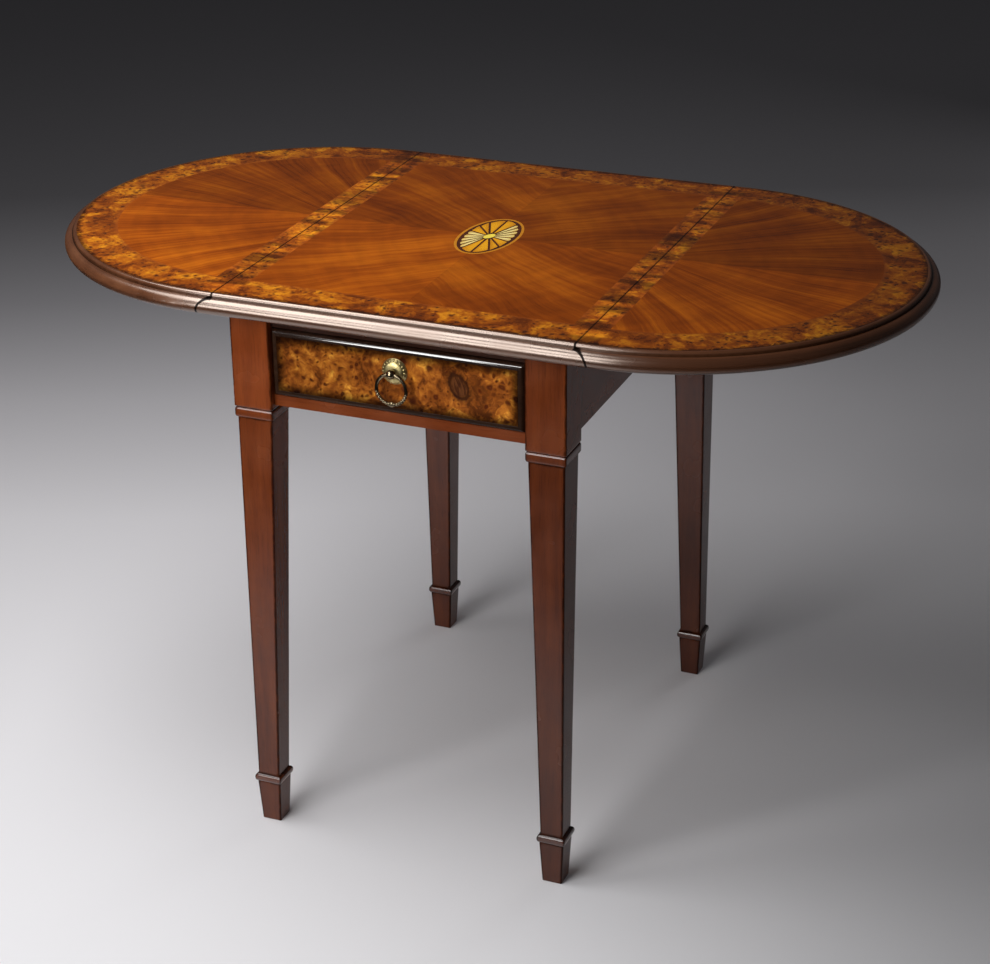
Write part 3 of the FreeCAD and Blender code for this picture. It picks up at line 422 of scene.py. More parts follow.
def burl_veneer(name, ground, axes, edge, eye_sizes, cut_size, chance, seed):
    """Burl in the plane of two axes; edge(f, colour, curl, x, y, z) adds glaze, painted light and shade."""
    f = Finish(name)
    places = f.xyz()
    flat = f.vector(*(places[axis] for axis in axes), seed)
    drift = f.vectors("SUBTRACT", f.noise(flat, 30.0, 3.0, 0.6, output="Color"), (0.5, 0.5, 0.5))
    warped = f.vectors("ADD", flat, f.vectors("MULTIPLY", drift, (BURL_WARP, BURL_WARP, 0.0)))
    cuts = f.node("ShaderNodeTexVoronoi", {"Vector": warped, "Scale": 1.0 / (cut_size * MM)}, output="Color")
    cut = f.node("ShaderNodeSeparateColor", {0: cuts})
    cloud = f.noise(warped, 30.0, 4.0, 0.6, 0.8)
    curl = f.noise(warped, 130.0, 6.0, 0.66, 1.1)
    cluster = f.noise(flat, 24.0, 2.0)
    colour = f.ramp(f.blend((cloud, 0.50), (curl, 0.26), (cut, 0.08), (cluster, 0.16)), *ground)
    for size, depth in eye_sizes:
        colour = eyes(f, colour, warped, cluster, size, chance, depth)
    colour = edge(f, colour, curl, *places)
    f.bump(curl, 0.04, 0.2 * MM)
    rough = f.ease(cloud, 0.3, 0.7, 0.13, 0.2)
    return f.finish(Base_Color=colour, Roughness=rough, Specular_IOR_Level=0.2)


print("burl ready")

# %% [markdown]
# ## Burl bands round the top
# The finisher darkened the bands' outer edge and the joints, which is done by the distance from them.
# Towards the field the burl fades into the field's colour along a ragged line. Beside the joints the
# band is laid in short strips, each lighter or darker than the next.

# %% Crossbanding
BURL_PLACES = (0.40, 0.47, 0.53, 0.61)
BAND_STAIN = ((0.105, 0.020, 0.002), (0.235, 0.050, 0.003), (0.39, 0.104, 0.005), (0.64, 0.232, 0.009))
BAND_EYES = ((3.2, 0.65), (4.6, 0.8), (6.6, 0.75))
FADE_COLOUR, FADE_SHARE = (0.29, 0.062, 0.0055), (-1 * MM, 6 * MM, 0.75, 0.0)
FADE_RAGGED, RIM_RAGGED = 12 * MM, 14 * MM
STRIP_LONG, STRIP_WIDE = 12.0, 55.0
STRIP_SHARE, STRIP_TONE = (18 * MM, 23 * MM, 1.0, 0.0), (0.36, 0.64, -0.5, 0.5)
RIM_TONE, JOINT_TONE = (0.0, 8 * MM, 0.22, 1.0), (0.5 * MM, 1.6 * MM, 0.3, 1.0)
# Painted light and shade: the bands are lighter at the front, darker at the back and towards the right.
BACK_FALLOFF_SHADE = (-HALF_DEPTH * MM, HALF_DEPTH * MM, 1.08, 0.84)
RIGHT_FALLOFF_SHADE = (0.0, LEAF_TIP * MM, 1.0, 0.66)


def band_edges(f, colour, curl, x, y, z):
    """Dark glaze at the rim and the joints, strips beside them, and a soft change into the field."""
    _, reach = rim_reach(f, x, y)
    wide, deep = f.size(x), f.size(y)
    ragged = f.minus(curl, 0.5)
    from_centre = f.larger(f.minus(wide, FIELD_X * MM), f.minus(deep, FIELD_Y * MM))
    from_leaf = f.larger(f.minus(LEAF_FIELD_X * MM, wide), f.minus(reach, FIELD_Y * MM))
    inward = f.add_share(ragged, FADE_RAGGED, f.smaller(from_centre, from_leaf))
    from_rim = f.add_share(ragged, RIM_RAGGED, f.minus(HALF_DEPTH * MM, reach))
    joint = f.size(f.minus(wide, JOINT * MM))
    strip = f.noise(f.vector(f.times(x, STRIP_LONG), f.times(y, STRIP_WIDE), 0.0), 1.0, 2.0)
    return f.shade(
        f.mix(f.ease(inward, *FADE_SHARE), colour, FADE_COLOUR),
        f.add_share(f.ease(joint, *STRIP_SHARE), f.ease(strip, *STRIP_TONE), 1.0),
        f.ease(from_rim, *RIM_TONE),
        f.ease(joint, *JOINT_TONE),
        # painted light and shade, front to back and left to right
        f.ease(y, *BACK_FALLOFF_SHADE),
        f.ease(x, *RIGHT_FALLOFF_SHADE),
    )


band_burl = burl_veneer("burl crossbanding", zip(BURL_PLACES, BAND_STAIN), (ALONG_X, ALONG_Y), band_edges,
                        BAND_EYES, cut_size=27, chance=0.79, seed=0.31)
print("band burl:", band_burl.name)

# %% [markdown]
# ## Burl of the drawer front
# One sheet of burl covers the drawer front. Its right half holds a large knot with a streaked heart
# and a dark ring, and the panel is glazed dark all round by the distance from the nearer edge; a
# smooth minimum rounds the glaze in the corners. Painted light makes the panel lighter towards the
# right.

# %% Drawer front
DRAWER_STAIN = ((0.07, 0.018, 0.004), (0.21, 0.057, 0.008), (0.38, 0.125, 0.014), (0.74, 0.35, 0.04))
DRAWER_EYES = ((3.6, 0.75), (5.5, 0.9), (8.5, 0.9), (12.0, 0.9))
KNOT_X, KNOT_Z, KNOT_WIDE, KNOT_TALL, KNOT_LEAN, KNOT_RING = 70.0, 566.0, 11.5, 14.5, 0.35, 0.86
HALO_COLOUR, HALO_SHARE = (0.05, 0.015, 0.004), (0.9, 1.5, 0.55, 0.0)
HEART_DARK, HEART_PALE, HEART_SHARE = (0.03, 0.009, 0.004), (0.085, 0.028, 0.009), (0.55, 0.95, 0.92, 0.0)
RING_COLOUR, RING_SHARE = (0.018, 0.006, 0.003), (0.04, 0.2, 0.8, 0.0)
panel_low, panel_high = cad("drawer_front_veneer")
PANEL_HALF = panel_high.x
PANEL_Z, PANEL_TALL = (panel_high.z + panel_low.z) / 2, (panel_high.z - panel_low.z) / 2
PANEL_RAGGED, PANEL_CORNER, PANEL_TONE = 9 * MM, 10 * MM, (0.0, 13 * MM, 0.12, 1.0)
# Painted light: the panel is lighter towards its right end.
RIGHT_PAINTED_LIGHT = (-PANEL_HALF * MM, PANEL_HALF * MM, 1.02, 1.5)


def drawer_edges(f, colour, curl, x, y, z):
    """One large knot, dark glaze round the panel, and painted light that grows towards the right."""
    wobble = f.add_share(curl, 0.5, -0.25)
    side = f.times(f.minus(x, KNOT_X * MM), 1.0 / (KNOT_WIDE * MM))
    level = f.times(f.minus(z, KNOT_Z * MM), 1.0 / (KNOT_TALL * MM))
    lean = f.add_share(level, KNOT_LEAN, side)
    away = f.math("ADD", f.length(lean, level), wobble)
    streak = f.noise(f.vector(f.times(lean, 4.0), level, 0.0), 1.2, 3.0, 0.6)
    heart = f.mix(f.ease(streak, 0.4, 0.62), HEART_DARK, HEART_PALE)
    colour = f.mix(f.ease(away, *HALO_SHARE), colour, HALO_COLOUR)
    colour = f.mix(f.ease(away, *HEART_SHARE), colour, heart)
    colour = f.mix(f.ease(f.size(f.minus(away, KNOT_RING)), *RING_SHARE), colour, RING_COLOUR)
    across = f.minus(PANEL_HALF * MM, f.size(x))
    upright = f.minus(PANEL_TALL * MM, f.size(f.minus(z, PANEL_Z * MM)))
    margin = f.add_share(wobble, PANEL_RAGGED, f.math("SMOOTH_MIN", across, upright, PANEL_CORNER))
    return f.shade(colour, f.ease(margin, *PANEL_TONE), f.ease(x, *RIGHT_PAINTED_LIGHT))


drawer_burl = burl_veneer("burl drawer front", zip(BURL_PLACES, DRAWER_STAIN), (ALONG_X, ALONG_Z),
                          drawer_edges, DRAWER_EYES, cut_size=40, chance=0.6, seed=2.4)
print("drawer burl:", drawer_burl.name)

# %% [markdown]
# ## Brass and iron
# The pull is antique brass: pale on the rosette, where hands rub it, and brown on the ring. Hinges,
# stays and screws are dull iron. A metal's colour is its base colour, and a cloudy roughness keeps
# it from looking like chrome.


# %% Metals
def worn_metal(name, dark, bright, smooth, rough):
    """Metal with a cloudy patina and fine scratches."""
    f = Finish(name)
    place = f.vector(*f.xyz())
    patina = f.noise(place, 260.0, 4.0, 0.6)
    scratch = f.noise(place, 1500.0, 2.0)
    colour = f.ramp(f.blend((patina, 0.75), (scratch, 0.25)), (0.34, dark), (0.62, bright))
    f.bump(scratch, 0.06, 0.15 * MM)
    return f.finish(Base_Color=colour, Roughness=f.ease(patina, 0.3, 0.7, rough, smooth), Metallic=1.0)


dome_brass = worn_metal("pale brass", (0.40, 0.31, 0.12), (0.68, 0.57, 0.28), 0.30, 0.42)
dark_brass = worn_metal("antique brass", (0.12, 0.09, 0.055), (0.40, 0.32, 0.20), 0.12, 0.2)
iron = worn_metal("dull iron", (0.09, 0.085, 0.08), (0.24, 0.23, 0.215), 0.38, 0.55)
print("metals:", dome_brass.name, dark_brass.name, iron.name)

# %% [markdown]
# ## Finishing the nodes that keep their CAD shape
# Rails, cores, veneers, mouldings, drawer boards and ironwork already have the right shape, so
# their material slots are simply refilled. A list of name endings keeps this short. Nodes that are
# replaced further down get a finish here too.

# %% Finishes of the CAD nodes
NODE_FINISHES = (
    (("leg",), leg_wood),
    (("back_rail", "front_lower_rail"), cross_wood),
    # The set-back upper rail gets its painted shade.
    (("front_upper_rail",), shade_painted_rail),
    (("side_rail",), side_wood),
    (("edge_moulding",), rim_wood),
    (("centre_field_veneer", "fan_patera"), centre_veneer),
    (("leaf_field_veneer",), leaf_veneer),
    (("crossbanding",), band_burl),
    (("drawer_front_veneer",), drawer_burl),
    (("drawer_bead",), bead_wood),
    (("lipping", "leaf_core", "top_core"), ground_wood),
    (("drawer_front", "drawer_side", "drawer_back", "drawer_bottom", "runner", "kicker", "stops"), pale_wood),
    (("pull_rosette",), dome_brass),
    (("pull_eye", "pull_ring", "pull_nut"), dark_brass),
    (("hinge_pins", "_plates", "_plate", "screws", "stay_arm", "stay_link"), iron),
)
for name, thing in nodes.items():
    finish = next(finish for endings, finish in NODE_FINISHES if name.endswith(endings))
    for slot in thing.material_slots:
        slot.material = finish
print("finished", len(nodes), "CAD nodes")

# %% [markdown]
# ## Putting meshes into the scene
# Pieces are written in millimetres like a workshop drawing and turned into metres once. A piece
# that stands for a CAD node rides on the same body and hides that node. Most shapes here are lofts:
# a skin over a row of rings.


# %% Piece helpers
def dress(mesh, name, body, stands_for, crease=30):
    """Closes, smooths and places a mesh, and lets it ride on its body."""
    soft = bmesh.new()
    soft.from_mesh(mesh)
    bmesh.ops.remove_doubles(soft, verts=soft.verts, dist=1e-7)
    bmesh.ops.recalc_face_normals(soft, faces=soft.faces)
    soft.to_mesh(mesh)
    soft.free()
    mesh.shade_smooth()
    mesh.set_sharp_from_angle(angle=math.radians(crease))
    thing = bpy.data.objects.new(name, mesh)
    scene.collection.objects.link(thing)
    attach(thing, body)
    if stands_for:
        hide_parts(*stands_for)
    print(name, len(mesh.polygons), "faces on", body)


def new_mesh(name, verts, faces, *finishes):
    """Mesh from millimetre points."""
    mesh = bpy.data.meshes.new(name)
    mesh.from_pydata([Vector(point) * MM for point in verts], [], faces)
    for finish in finishes:
        mesh.materials.append(finish)
    return mesh


def loft(rings, closed_ends=True):
    """Points and faces of a skin over rings that all have the same number of points."""
    count = len(rings[0])
    verts = [point for ring in rings for point in ring]
    faces = []
    for low in range(0, len(verts) - count, count):
        for index in range(count):
            after = (index + 1) % count
            faces.append((low + index, low + after, low + count + after, low + count + index))
    if closed_ends:
        faces.append(tuple(reversed(range(count))))
        faces.append(tuple(range(len(verts) - count, len(verts))))
    return verts, faces


print("piece helpers ready")

# %% [markdown]
# ## Four tapered legs on spade feet
# A square leg is a stack of squares, so it is lofted from rings. Its profile is drawn once, from
# the floor up: spade, half-round collar, long taper, rounded neck band, groove and block. The taper
# leans: the foot stands a little outside the block. Each ring has extra points beside its corners,
# so that the dark glaze can hug the arrises.

# %% Leg profile
leg_low, leg_high = cad("back_right_leg")
BLOCK_HALF, GROOVE_HALF, TAPER_HALF, ANKLE_HALF = 22.0, 20.5, 19.75, 12.8
COLLAR_HALF, SPADE_HALF, FOOT_HALF = 16.2, 13.8, 11.2
BLOCK_LOW, GROOVE_TOP, GROOVE_LOW = 509.4, 508.0, 507.2
BAND_TOP, BAND_LOW, TAPER_TOP = 504.0, 499.6, 496.0
ANKLE, COLLAR, SPADE_TOP = 60.0, 55.6, 51.0
SOFT, STEP, GLAZE_SHADE_WIDE = 0.6, 0.2, 5.0
SPADE_STEP, ANKLE_STEP, NECK_STEP = 0.4, 0.5, 0.3
SPADE_DRAW, TAPER_DRAW = 0.25, 0.08
BLOCK_AT = (leg_low.x + BLOCK_HALF, leg_low.y + BLOCK_HALF)
foot_mount = frame["record"]["mounts"][0]["pos_m"]
FOOT_AT = (abs(foot_mount[0]) / MM, abs(foot_mount[1]) / MM)


def quarter(start, end, upright_first, steps=5):
    """Quarter ellipse from one (height, half width) to another, leaving the start upright or level."""
    (low, thin), (high, thick) = start, end
    points = [start]
    for step in range(1, steps + 1):
        turn = math.radians(90) * step / steps
        rise, swell = math.sin(turn), 1 - math.cos(turn)
        if not upright_first:
            rise, swell = swell, rise
        points.append((low + (high - low) * rise, thin + (thick - thin) * swell))
    return points


profile = [(0.0, FOOT_HALF - SOFT), (SOFT, FOOT_HALF)]
profile += [(SPADE_TOP - GLAZE_SHADE_WIDE, SPADE_HALF - SPADE_DRAW), (SPADE_TOP, SPADE_HALF)]
profile += quarter((SPADE_TOP + STEP, SPADE_HALF + SPADE_STEP), (COLLAR, COLLAR_HALF), False)
profile += quarter((COLLAR, COLLAR_HALF), (ANKLE, ANKLE_HALF + ANKLE_STEP), True)
profile += [(ANKLE + STEP, ANKLE_HALF), (ANKLE + GLAZE_SHADE_WIDE, ANKLE_HALF + TAPER_DRAW)]
profile += [(TAPER_TOP - GLAZE_SHADE_WIDE, TAPER_HALF - TAPER_DRAW), (TAPER_TOP - STEP, TAPER_HALF)]
profile += quarter((TAPER_TOP, TAPER_HALF + NECK_STEP), (BAND_LOW, BLOCK_HALF), False)
profile += quarter((BAND_TOP, BLOCK_HALF), (GROOVE_LOW, GROOVE_HALF), True)
profile += quarter((GROOVE_TOP, GROOVE_HALF), (BLOCK_LOW, BLOCK_HALF), False)
profile += [(BLOCK_LOW + GLAZE_SHADE_WIDE, BLOCK_HALF), (leg_high.z, BLOCK_HALF)]
print("leg profile of", len(profile), "rings, foot at", FOOT_AT)

# %% Legs
ARRIS, ARRIS_STEPS, ARRIS_GLAZE, HOLLOW_FADE = 1.0, 4, 3.6, 1.6
HOLLOWS = (SPADE_TOP, ANKLE + STEP, TAPER_TOP, (GROOVE_LOW + GROOVE_TOP) / 2)
CORNERS = ((1, 1), (-1, 1), (-1, -1), (1, -1))
LEGS = (("front_left", -1, -1), ("front_right", 1, -1), ("back_left", -1, 1), ("back_right", 1, 1))


def square_ring(x, y, half, z):
    """Square with eased corners, anticlockwise, and whether each point lies on an arris."""
    ring, on_arris = [], []
    for turn, (sx, sy) in enumerate(CORNERS):
        corner = []
        for step in range(ARRIS_STEPS):
            angle = math.radians(90) * (turn + step / (ARRIS_STEPS - 1))
            corner.append((x + sx * (half - ARRIS) + ARRIS * math.cos(angle),
                           y + sy * (half - ARRIS) + ARRIS * math.sin(angle), z))
        beside_x, beside_y = x + sx * (half - ARRIS_GLAZE), y + sy * (half - ARRIS_GLAZE)
        before, after = (corner[0][0], beside_y, z), (beside_x, corner[-1][1], z)
        if turn % 2:
            before, after = (beside_x, corner[0][1], z), (corner[-1][0], beside_y, z)
        ring += [before, *corner, after]
        on_arris += [0.0] + [1.0] * ARRIS_STEPS + [0.0]
    return ring, on_arris


for name, sx, sy in LEGS:
    rings, glaze_and_shade = [], []
    for z, half in profile:
        lean = min(max((z - ANKLE) / (TAPER_TOP - ANKLE), 0.0), 1.0)
        x, y = (foot + (block - foot) * lean for foot, block in zip(FOOT_AT, BLOCK_AT))
        ring, on_arris = square_ring(sx * x, sy * y, half, z)
        # Hollows of the profile get glaze and painted shade; arrises get glaze.
        hollow_shade = max(1 - abs(z - dip) / GLAZE_SHADE_WIDE * HOLLOW_FADE for dip in HOLLOWS)
        rings.append(ring)
        glaze_and_shade += [max(edge, hollow_shade, 0.0) for edge in on_arris]
    mesh = new_mesh(f"{name}_tapered_leg", *loft(rings), leg_wood, collar_wood)
    for value, glaze in zip(mesh.attributes.new("glaze_and_shade", "FLOAT", "POINT").data, glaze_and_shade):
        value.value = glaze
    for face in mesh.polygons:
        height = face.center.z / MM
        face.material_index = int(SPADE_TOP < height < ANKLE or BAND_LOW < height < BLOCK_LOW)
    dress(mesh, f"{name}_tapered_leg", "frame", [f"{name}_leg"])

# %% [markdown]
# ## The drawer's rounded bead
# A mitred frame surrounds the burl panel, with a quarter-round on its outer edge that catches a
# bright line of light. Each point of its section becomes a rectangle of corners, and neighbouring
# rectangles are joined, so the corners mitre by themselves.

# %% Drawer bead
bead_low, bead_high = cad("drawer_bead")
BEAD_FACE, BEAD_BACK = bead_low.y, bead_high.y
BEAD_WIDE, BEAD_ROUND, BEAD_STEPS = bead_high.x - PANEL_HALF, 6.0, 8
INNER_EDGE = ((0.4, 0.05), (0.1, 0.3), (0.0, 0.8))
outer_edge = quarter((BEAD_FACE + BEAD_ROUND, 0.0), (BEAD_FACE, BEAD_ROUND), True, BEAD_STEPS)
section = [(0.0, BEAD_BACK)]
section += [(inset, y) for y, inset in outer_edge]
section += [(BEAD_WIDE - outward, BEAD_FACE + deep) for outward, deep in INNER_EDGE]
section.append((BEAD_WIDE, BEAD_BACK))
rings = []
for inset, y in section:
    half, low, high = bead_high.x - inset, bead_low.z + inset, bead_high.z - inset
    rings.append([(-half, y, low), (half, y, low), (half, y, high), (-half, y, high)])
rings.append(rings[0])
bead = new_mesh("drawer_rounded_bead", *loft(rings, closed_ends=False), bead_wood, bright_bead_wood)
for face in bead.polygons:
    face.material_index = int(face.center.z / MM > bead_high.z - BEAD_WIDE)
dress(bead, "drawer_rounded_bead", "drawer", ["drawer_bead"], 32)

# %% [markdown]
# ## The oval fan patera
# In the middle of the top sits an oval inlay: two pale fans, shaded in hot sand, face each other
# across a small boss, and orange wedges fill the rest. Dark lines part them, and an orange band
# borders the oval. Each petal is a thin tile with a UV map that runs across and along it, so one
# finish can shade one side of every petal.


# %% Inlay finishes
def petal_finish(name, shaded, plain, tip):
    """Petal that darkens towards one side, and towards its tip."""
    f = Finish(name)
    across, along, _ = f.split(f.node("ShaderNodeTexCoord", output="UV"))
    x, y, z = f.xyz()
    fibre = f.noise(f.vector(f.times(x, 3.0), y, z), 500.0, 3.0)
    side = f.add_share(f.minus(fibre, 0.5), 0.35, across)
    colour = f.mix(f.ease(side, 0.0, 0.75), shaded, plain)
    colour = f.mix(f.ease(along, 0.7, 1.05, 0.0, 0.6), colour, tip)
    f.bump(fibre, 0.04, 0.2 * MM)
    rough = f.ease(fibre, 0.3, 0.7, 0.24, 0.32)
    return f.finish(Base_Color=colour, Roughness=rough, Specular_IOR_Level=0.35)


fan_petal = petal_finish("sand-shaded satinwood", (0.32, 0.12, 0.012), (0.95, 0.76, 0.28), (0.75, 0.46, 0.08))
orange_petal = petal_finish("orange satinwood", (0.62, 0.24, 0.006), (0.82, 0.37, 0.010), (0.60, 0.23, 0.006))
band_wood = petal_finish("orange border band", (0.58, 0.22, 0.012), (0.74, 0.32, 0.018), (0.66, 0.27, 0.014))
bright_boss = petal_finish("yellow boss", (0.85, 0.55, 0.04), (0.95, 0.74, 0.09), (0.85, 0.55, 0.04))
LINES = ((0.05, 0.011, 0.003), (0.08, 0.018, 0.005), (0.11, 0.026, 0.007))
dark_ground = stained_wood("dark inlay ground", ALONG_Y, LINES)
print("inlay finishes:", fan_petal.name, orange_petal.name, band_wood.name)

# %% Tile helpers
patera_low, patera_high = cad("fan_patera")
OVAL_X, OVAL_Y = patera_high.x, patera_high.y
BORDER, BORDER_GAP, BOSS_SHARE, TILE, TIP_STEPS = 3.0, 3.9, 0.2, 0.4, 8
tiles = bmesh.new()
uv_layer = tiles.loops.layers.uv.new("UVMap")


def oval_point(angle, share, trim=0.0):
    """Point towards an angle, at a share of the way to the oval trimmed by some millimetres."""
    x, y = OVAL_X * math.cos(angle), OVAL_Y * math.sin(angle)
    edge = 1 / math.hypot(x / (OVAL_X - trim), y / (OVAL_Y - trim))
    return Vector((x, y)) * edge * share


def add_tile(outline, number):
    """Closed thin tile over an outline of (x, y, u, v) points."""
    upper, lower = ([tiles.verts.new(Vector((x, y, z)) * MM) for x, y, _, _ in outline]
                    for z in (TOP, TOP - TILE))
    uv_of = dict(zip(upper + lower, [point[2:] for point in outline] * 2))
    walls = zip(upper[1:] + upper[:1], upper, lower, lower[1:] + lower[:1])
    for corners in (upper, *walls, lower[::-1]):
        face = tiles.faces.new(corners)
        face.material_index = number
        for loop in face.loops:
            loop[uv_layer].uv = uv_of[loop.vert]


def wedge(first, last, end, scallop, line, number):
    """Petal between two angles, drawn back from its neighbours by half a dark line."""
    sides = []
    for angle, inward in ((first, 1), (last, -1)):
        ray = oval_point(angle, 1.0).normalized()
        sides.append(Vector((-ray.y, ray.x)) * inward * line)
    outline = []
    for step in range(TIP_STEPS + 1):
        share = step / TIP_STEPS
        reach = end + scallop * (1 - (2 * share - 1) ** 2)
        point = oval_point(first + (last - first) * share, reach, BORDER + BORDER_GAP)
        point += sides[0] * max(1 - 2 * share, 0) + sides[1] * max(2 * share - 1, 0)
        outline.append((*point, share, 1.0))
    for angle, side, across in ((last, sides[1], 1.0), (first, sides[0], 0.0)):
        outline.append((*(oval_point(angle, BOSS_SHARE, BORDER) + side), across, 0.0))
    add_tile(outline, number)


print("oval of", round(2 * OVAL_X), "by", round(2 * OVAL_Y), "mm")

# %% Petals and boss
PALE, ORANGE, YELLOW = 0, 1, 2
LINE, FAN_LINE = 1.25, 0.9
DIVISIONS = (60.5, 92.2, 126.0, 145.7, 167.7, 240.5)
FAN_PETALS, FAN_END, SCALLOP = 5, 0.93, 0.07
BOSS_LONG, BOSS_WIDE, BOSS_STEPS, BOSS_UV = 8.5, 5.0, 32, (0.75, 0.2)
BOSS_TURN = Matrix.Rotation(math.radians(70), 2)
for turn in (0.0, math.pi):
    angles = [math.radians(angle) + turn for angle in DIVISIONS]
    for first, last in zip(angles[:-2], angles[1:-1]):
        wedge(first, last, 1.0, 0.0, LINE, ORANGE)
    first, last = angles[-2:]
    for petal in range(FAN_PETALS):
        start, end = (first + (last - first) * (petal + side) / FAN_PETALS for side in (0, 1))
        wedge(start, end, FAN_END, SCALLOP, FAN_LINE, PALE)
boss = []
for step in range(BOSS_STEPS):
    angle = math.tau * step / BOSS_STEPS
    point = BOSS_TURN @ Vector((BOSS_LONG * math.cos(angle), BOSS_WIDE * math.sin(angle)))
    boss.append((*point, *BOSS_UV))
add_tile(boss, YELLOW)
petals = bpy.data.meshes.new("patera_petals")
tiles.to_mesh(petals)
tiles.free()
for finish in (fan_petal, orange_petal, bright_boss):
    petals.materials.append(finish)
dress(petals, "patera_petals", "frame", ())

# %% Patera ground and border
GROUND_RIM, GROUND_TOP, OVAL_STEPS = TOP - 0.1, TOP - 0.08, 96


def oval_ring(trim, z):
    """Ring along the oval, trimmed by some millimetres, at a height."""
    return [(*oval_point(math.tau * step / OVAL_STEPS, 1.0, trim), z) for step in range(OVAL_STEPS)]


disc = loft([oval_ring(0.0, patera_low.z), oval_ring(0.0, GROUND_RIM), oval_ring(BORDER, GROUND_TOP)])
dress(new_mesh("patera_ground", *disc, dark_ground), "patera_ground", "frame", ["fan_patera"])
BORDER_SECTION = ((0.0, TOP - TILE), (0.0, TOP), (BORDER, TOP), (BORDER, TOP - TILE))
rows = [oval_ring(trim, z) for trim, z in BORDER_SECTION]
hoop = loft(rows + rows[:1], closed_ends=False)
dress(new_mesh("patera_border", *hoop, band_wood), "patera_border", "frame", ())

# %% [markdown]
# ## Copies on a circle, by Geometry Nodes
# Teeth stand round the rosette and beads run along the ring, so one node tree makes both: an arc is
# resampled into points, each point carries a small rounded bead turned along the arc, and the copies
# are made real. A modifier sets the tree's named inputs, and the result is kept as a plain mesh.


# %% Copies on a circle
def copies_on_arc(name, count, radius, first, sweep, bead_size, tilt, bead_sides):
    """Mesh of rounded beads set along an arc in the XY plane; radius and bead size in millimetres."""
    tree = bpy.data.node_groups.new(name, "GeometryNodeTree")
    tree.is_modifier = True
    for way in ("INPUT", "OUTPUT"):
        tree.interface.new_socket("Geometry", in_out=way, socket_type="NodeSocketGeometry")
    settings = {}
    for label, kind, value in (
        ("Count", "Int", count),
        ("Radius", "Float", radius * MM),
        ("First angle", "Float", first),
        ("Sweep", "Float", sweep),
        ("Bead size", "Vector", tuple(size * MM for size in bead_size)),
        ("Tilt", "Rotation", (tilt, 0.0, 0.0)),
    ):
        socket = tree.interface.new_socket(label, in_out="INPUT", socket_type="NodeSocket" + kind)
        settings[socket.identifier] = value
    make = tree.nodes.new
    inlet, outlet = make("NodeGroupInput"), make("NodeGroupOutput")
    arc, spread = make("GeometryNodeCurveArc"), make("GeometryNodeResampleCurve")
    arc.mode = "RADIUS"
    turn, align = make("GeometryNodeInputTangent"), make("FunctionNodeAlignRotationToVector")
    align.axis = "X"
    lean = make("FunctionNodeRotateRotation")
    lean.rotation_space = "LOCAL"
    bead = make("GeometryNodeMeshUVSphere")
    bead.inputs["Segments"].default_value = bead_sides
    bead.inputs["Rings"].default_value = bead_sides // 2 + 2
    put, real = make("GeometryNodeInstanceOnPoints"), make("GeometryNodeRealizeInstances")
    smooth = make("GeometryNodeSetShadeSmooth")
    for source, given, target, taken in (
        (inlet, "Radius", arc, "Radius"),
        (inlet, "First angle", arc, "Start Angle"),
        (inlet, "Sweep", arc, "Sweep Angle"),
        (arc, "Curve", spread, "Curve"),
        (inlet, "Count", spread, "Count"),
        (spread, "Curve", put, "Points"),
        (turn, "Tangent", align, "Vector"),
        (align, "Rotation", lean, "Rotation"),
        (inlet, "Tilt", lean, "Rotate By"),
        (lean, "Rotation", put, "Rotation"),
        (bead, "Mesh", put, "Instance"),
        (inlet, "Bead size", put, "Scale"),
        (put, "Instances", real, "Geometry"),
        (real, "Geometry", smooth, "Geometry"),
        (smooth, "Geometry", outlet, "Geometry"),
    ):
        tree.links.new(source.outputs[given], target.inputs[taken])
    holder = bpy.data.objects.new(name, bpy.data.meshes.new(name))
    scene.collection.objects.link(holder)
    modifier = holder.modifiers.new(name, "NODES")
    modifier.node_group = tree
    for identifier, value in settings.items():
        modifier[identifier] = value
    mesh = bpy.data.meshes.new_from_object(holder.evaluated_get(bpy.context.evaluated_depsgraph_get()))
    bpy.data.objects.remove(holder)
    print(name, len(mesh.polygons), "faces from", count, "copies")
    return mesh


print("copies on a circle ready")

# %% [markdown]
# ## The rosette of the pull
# The rosette is lathe work: a dome inside a sloping rim, with a ring of teeth on the slope. It is
# drawn lying flat and stood upright against the drawer at the end.


# %% Lathe and joining helpers
def turned(rows, steps=64):
    """Lathe work: rings of (radius, height) points round the Z axis."""
    turns = [math.tau * step / steps for step in range(steps)]
    return loft([[(radius * math.cos(turn), radius * math.sin(turn), height) for turn in turns]
                 for radius, height in rows])


def join_meshes(name, place, finish, *parts):
    """One mesh from parts drawn lying flat, stood upright at a place in millimetres."""
    whole = bmesh.new()
    for part in parts:
        whole.from_mesh(part)
    mesh = bpy.data.meshes.new(name)
    whole.to_mesh(mesh)
    whole.free()
    mesh.transform(Matrix.Translation(Vector(place) * MM) @ Matrix.Rotation(math.radians(90), 4, "X"))
    mesh.materials.append(finish)
    return mesh


print("lathe ready")

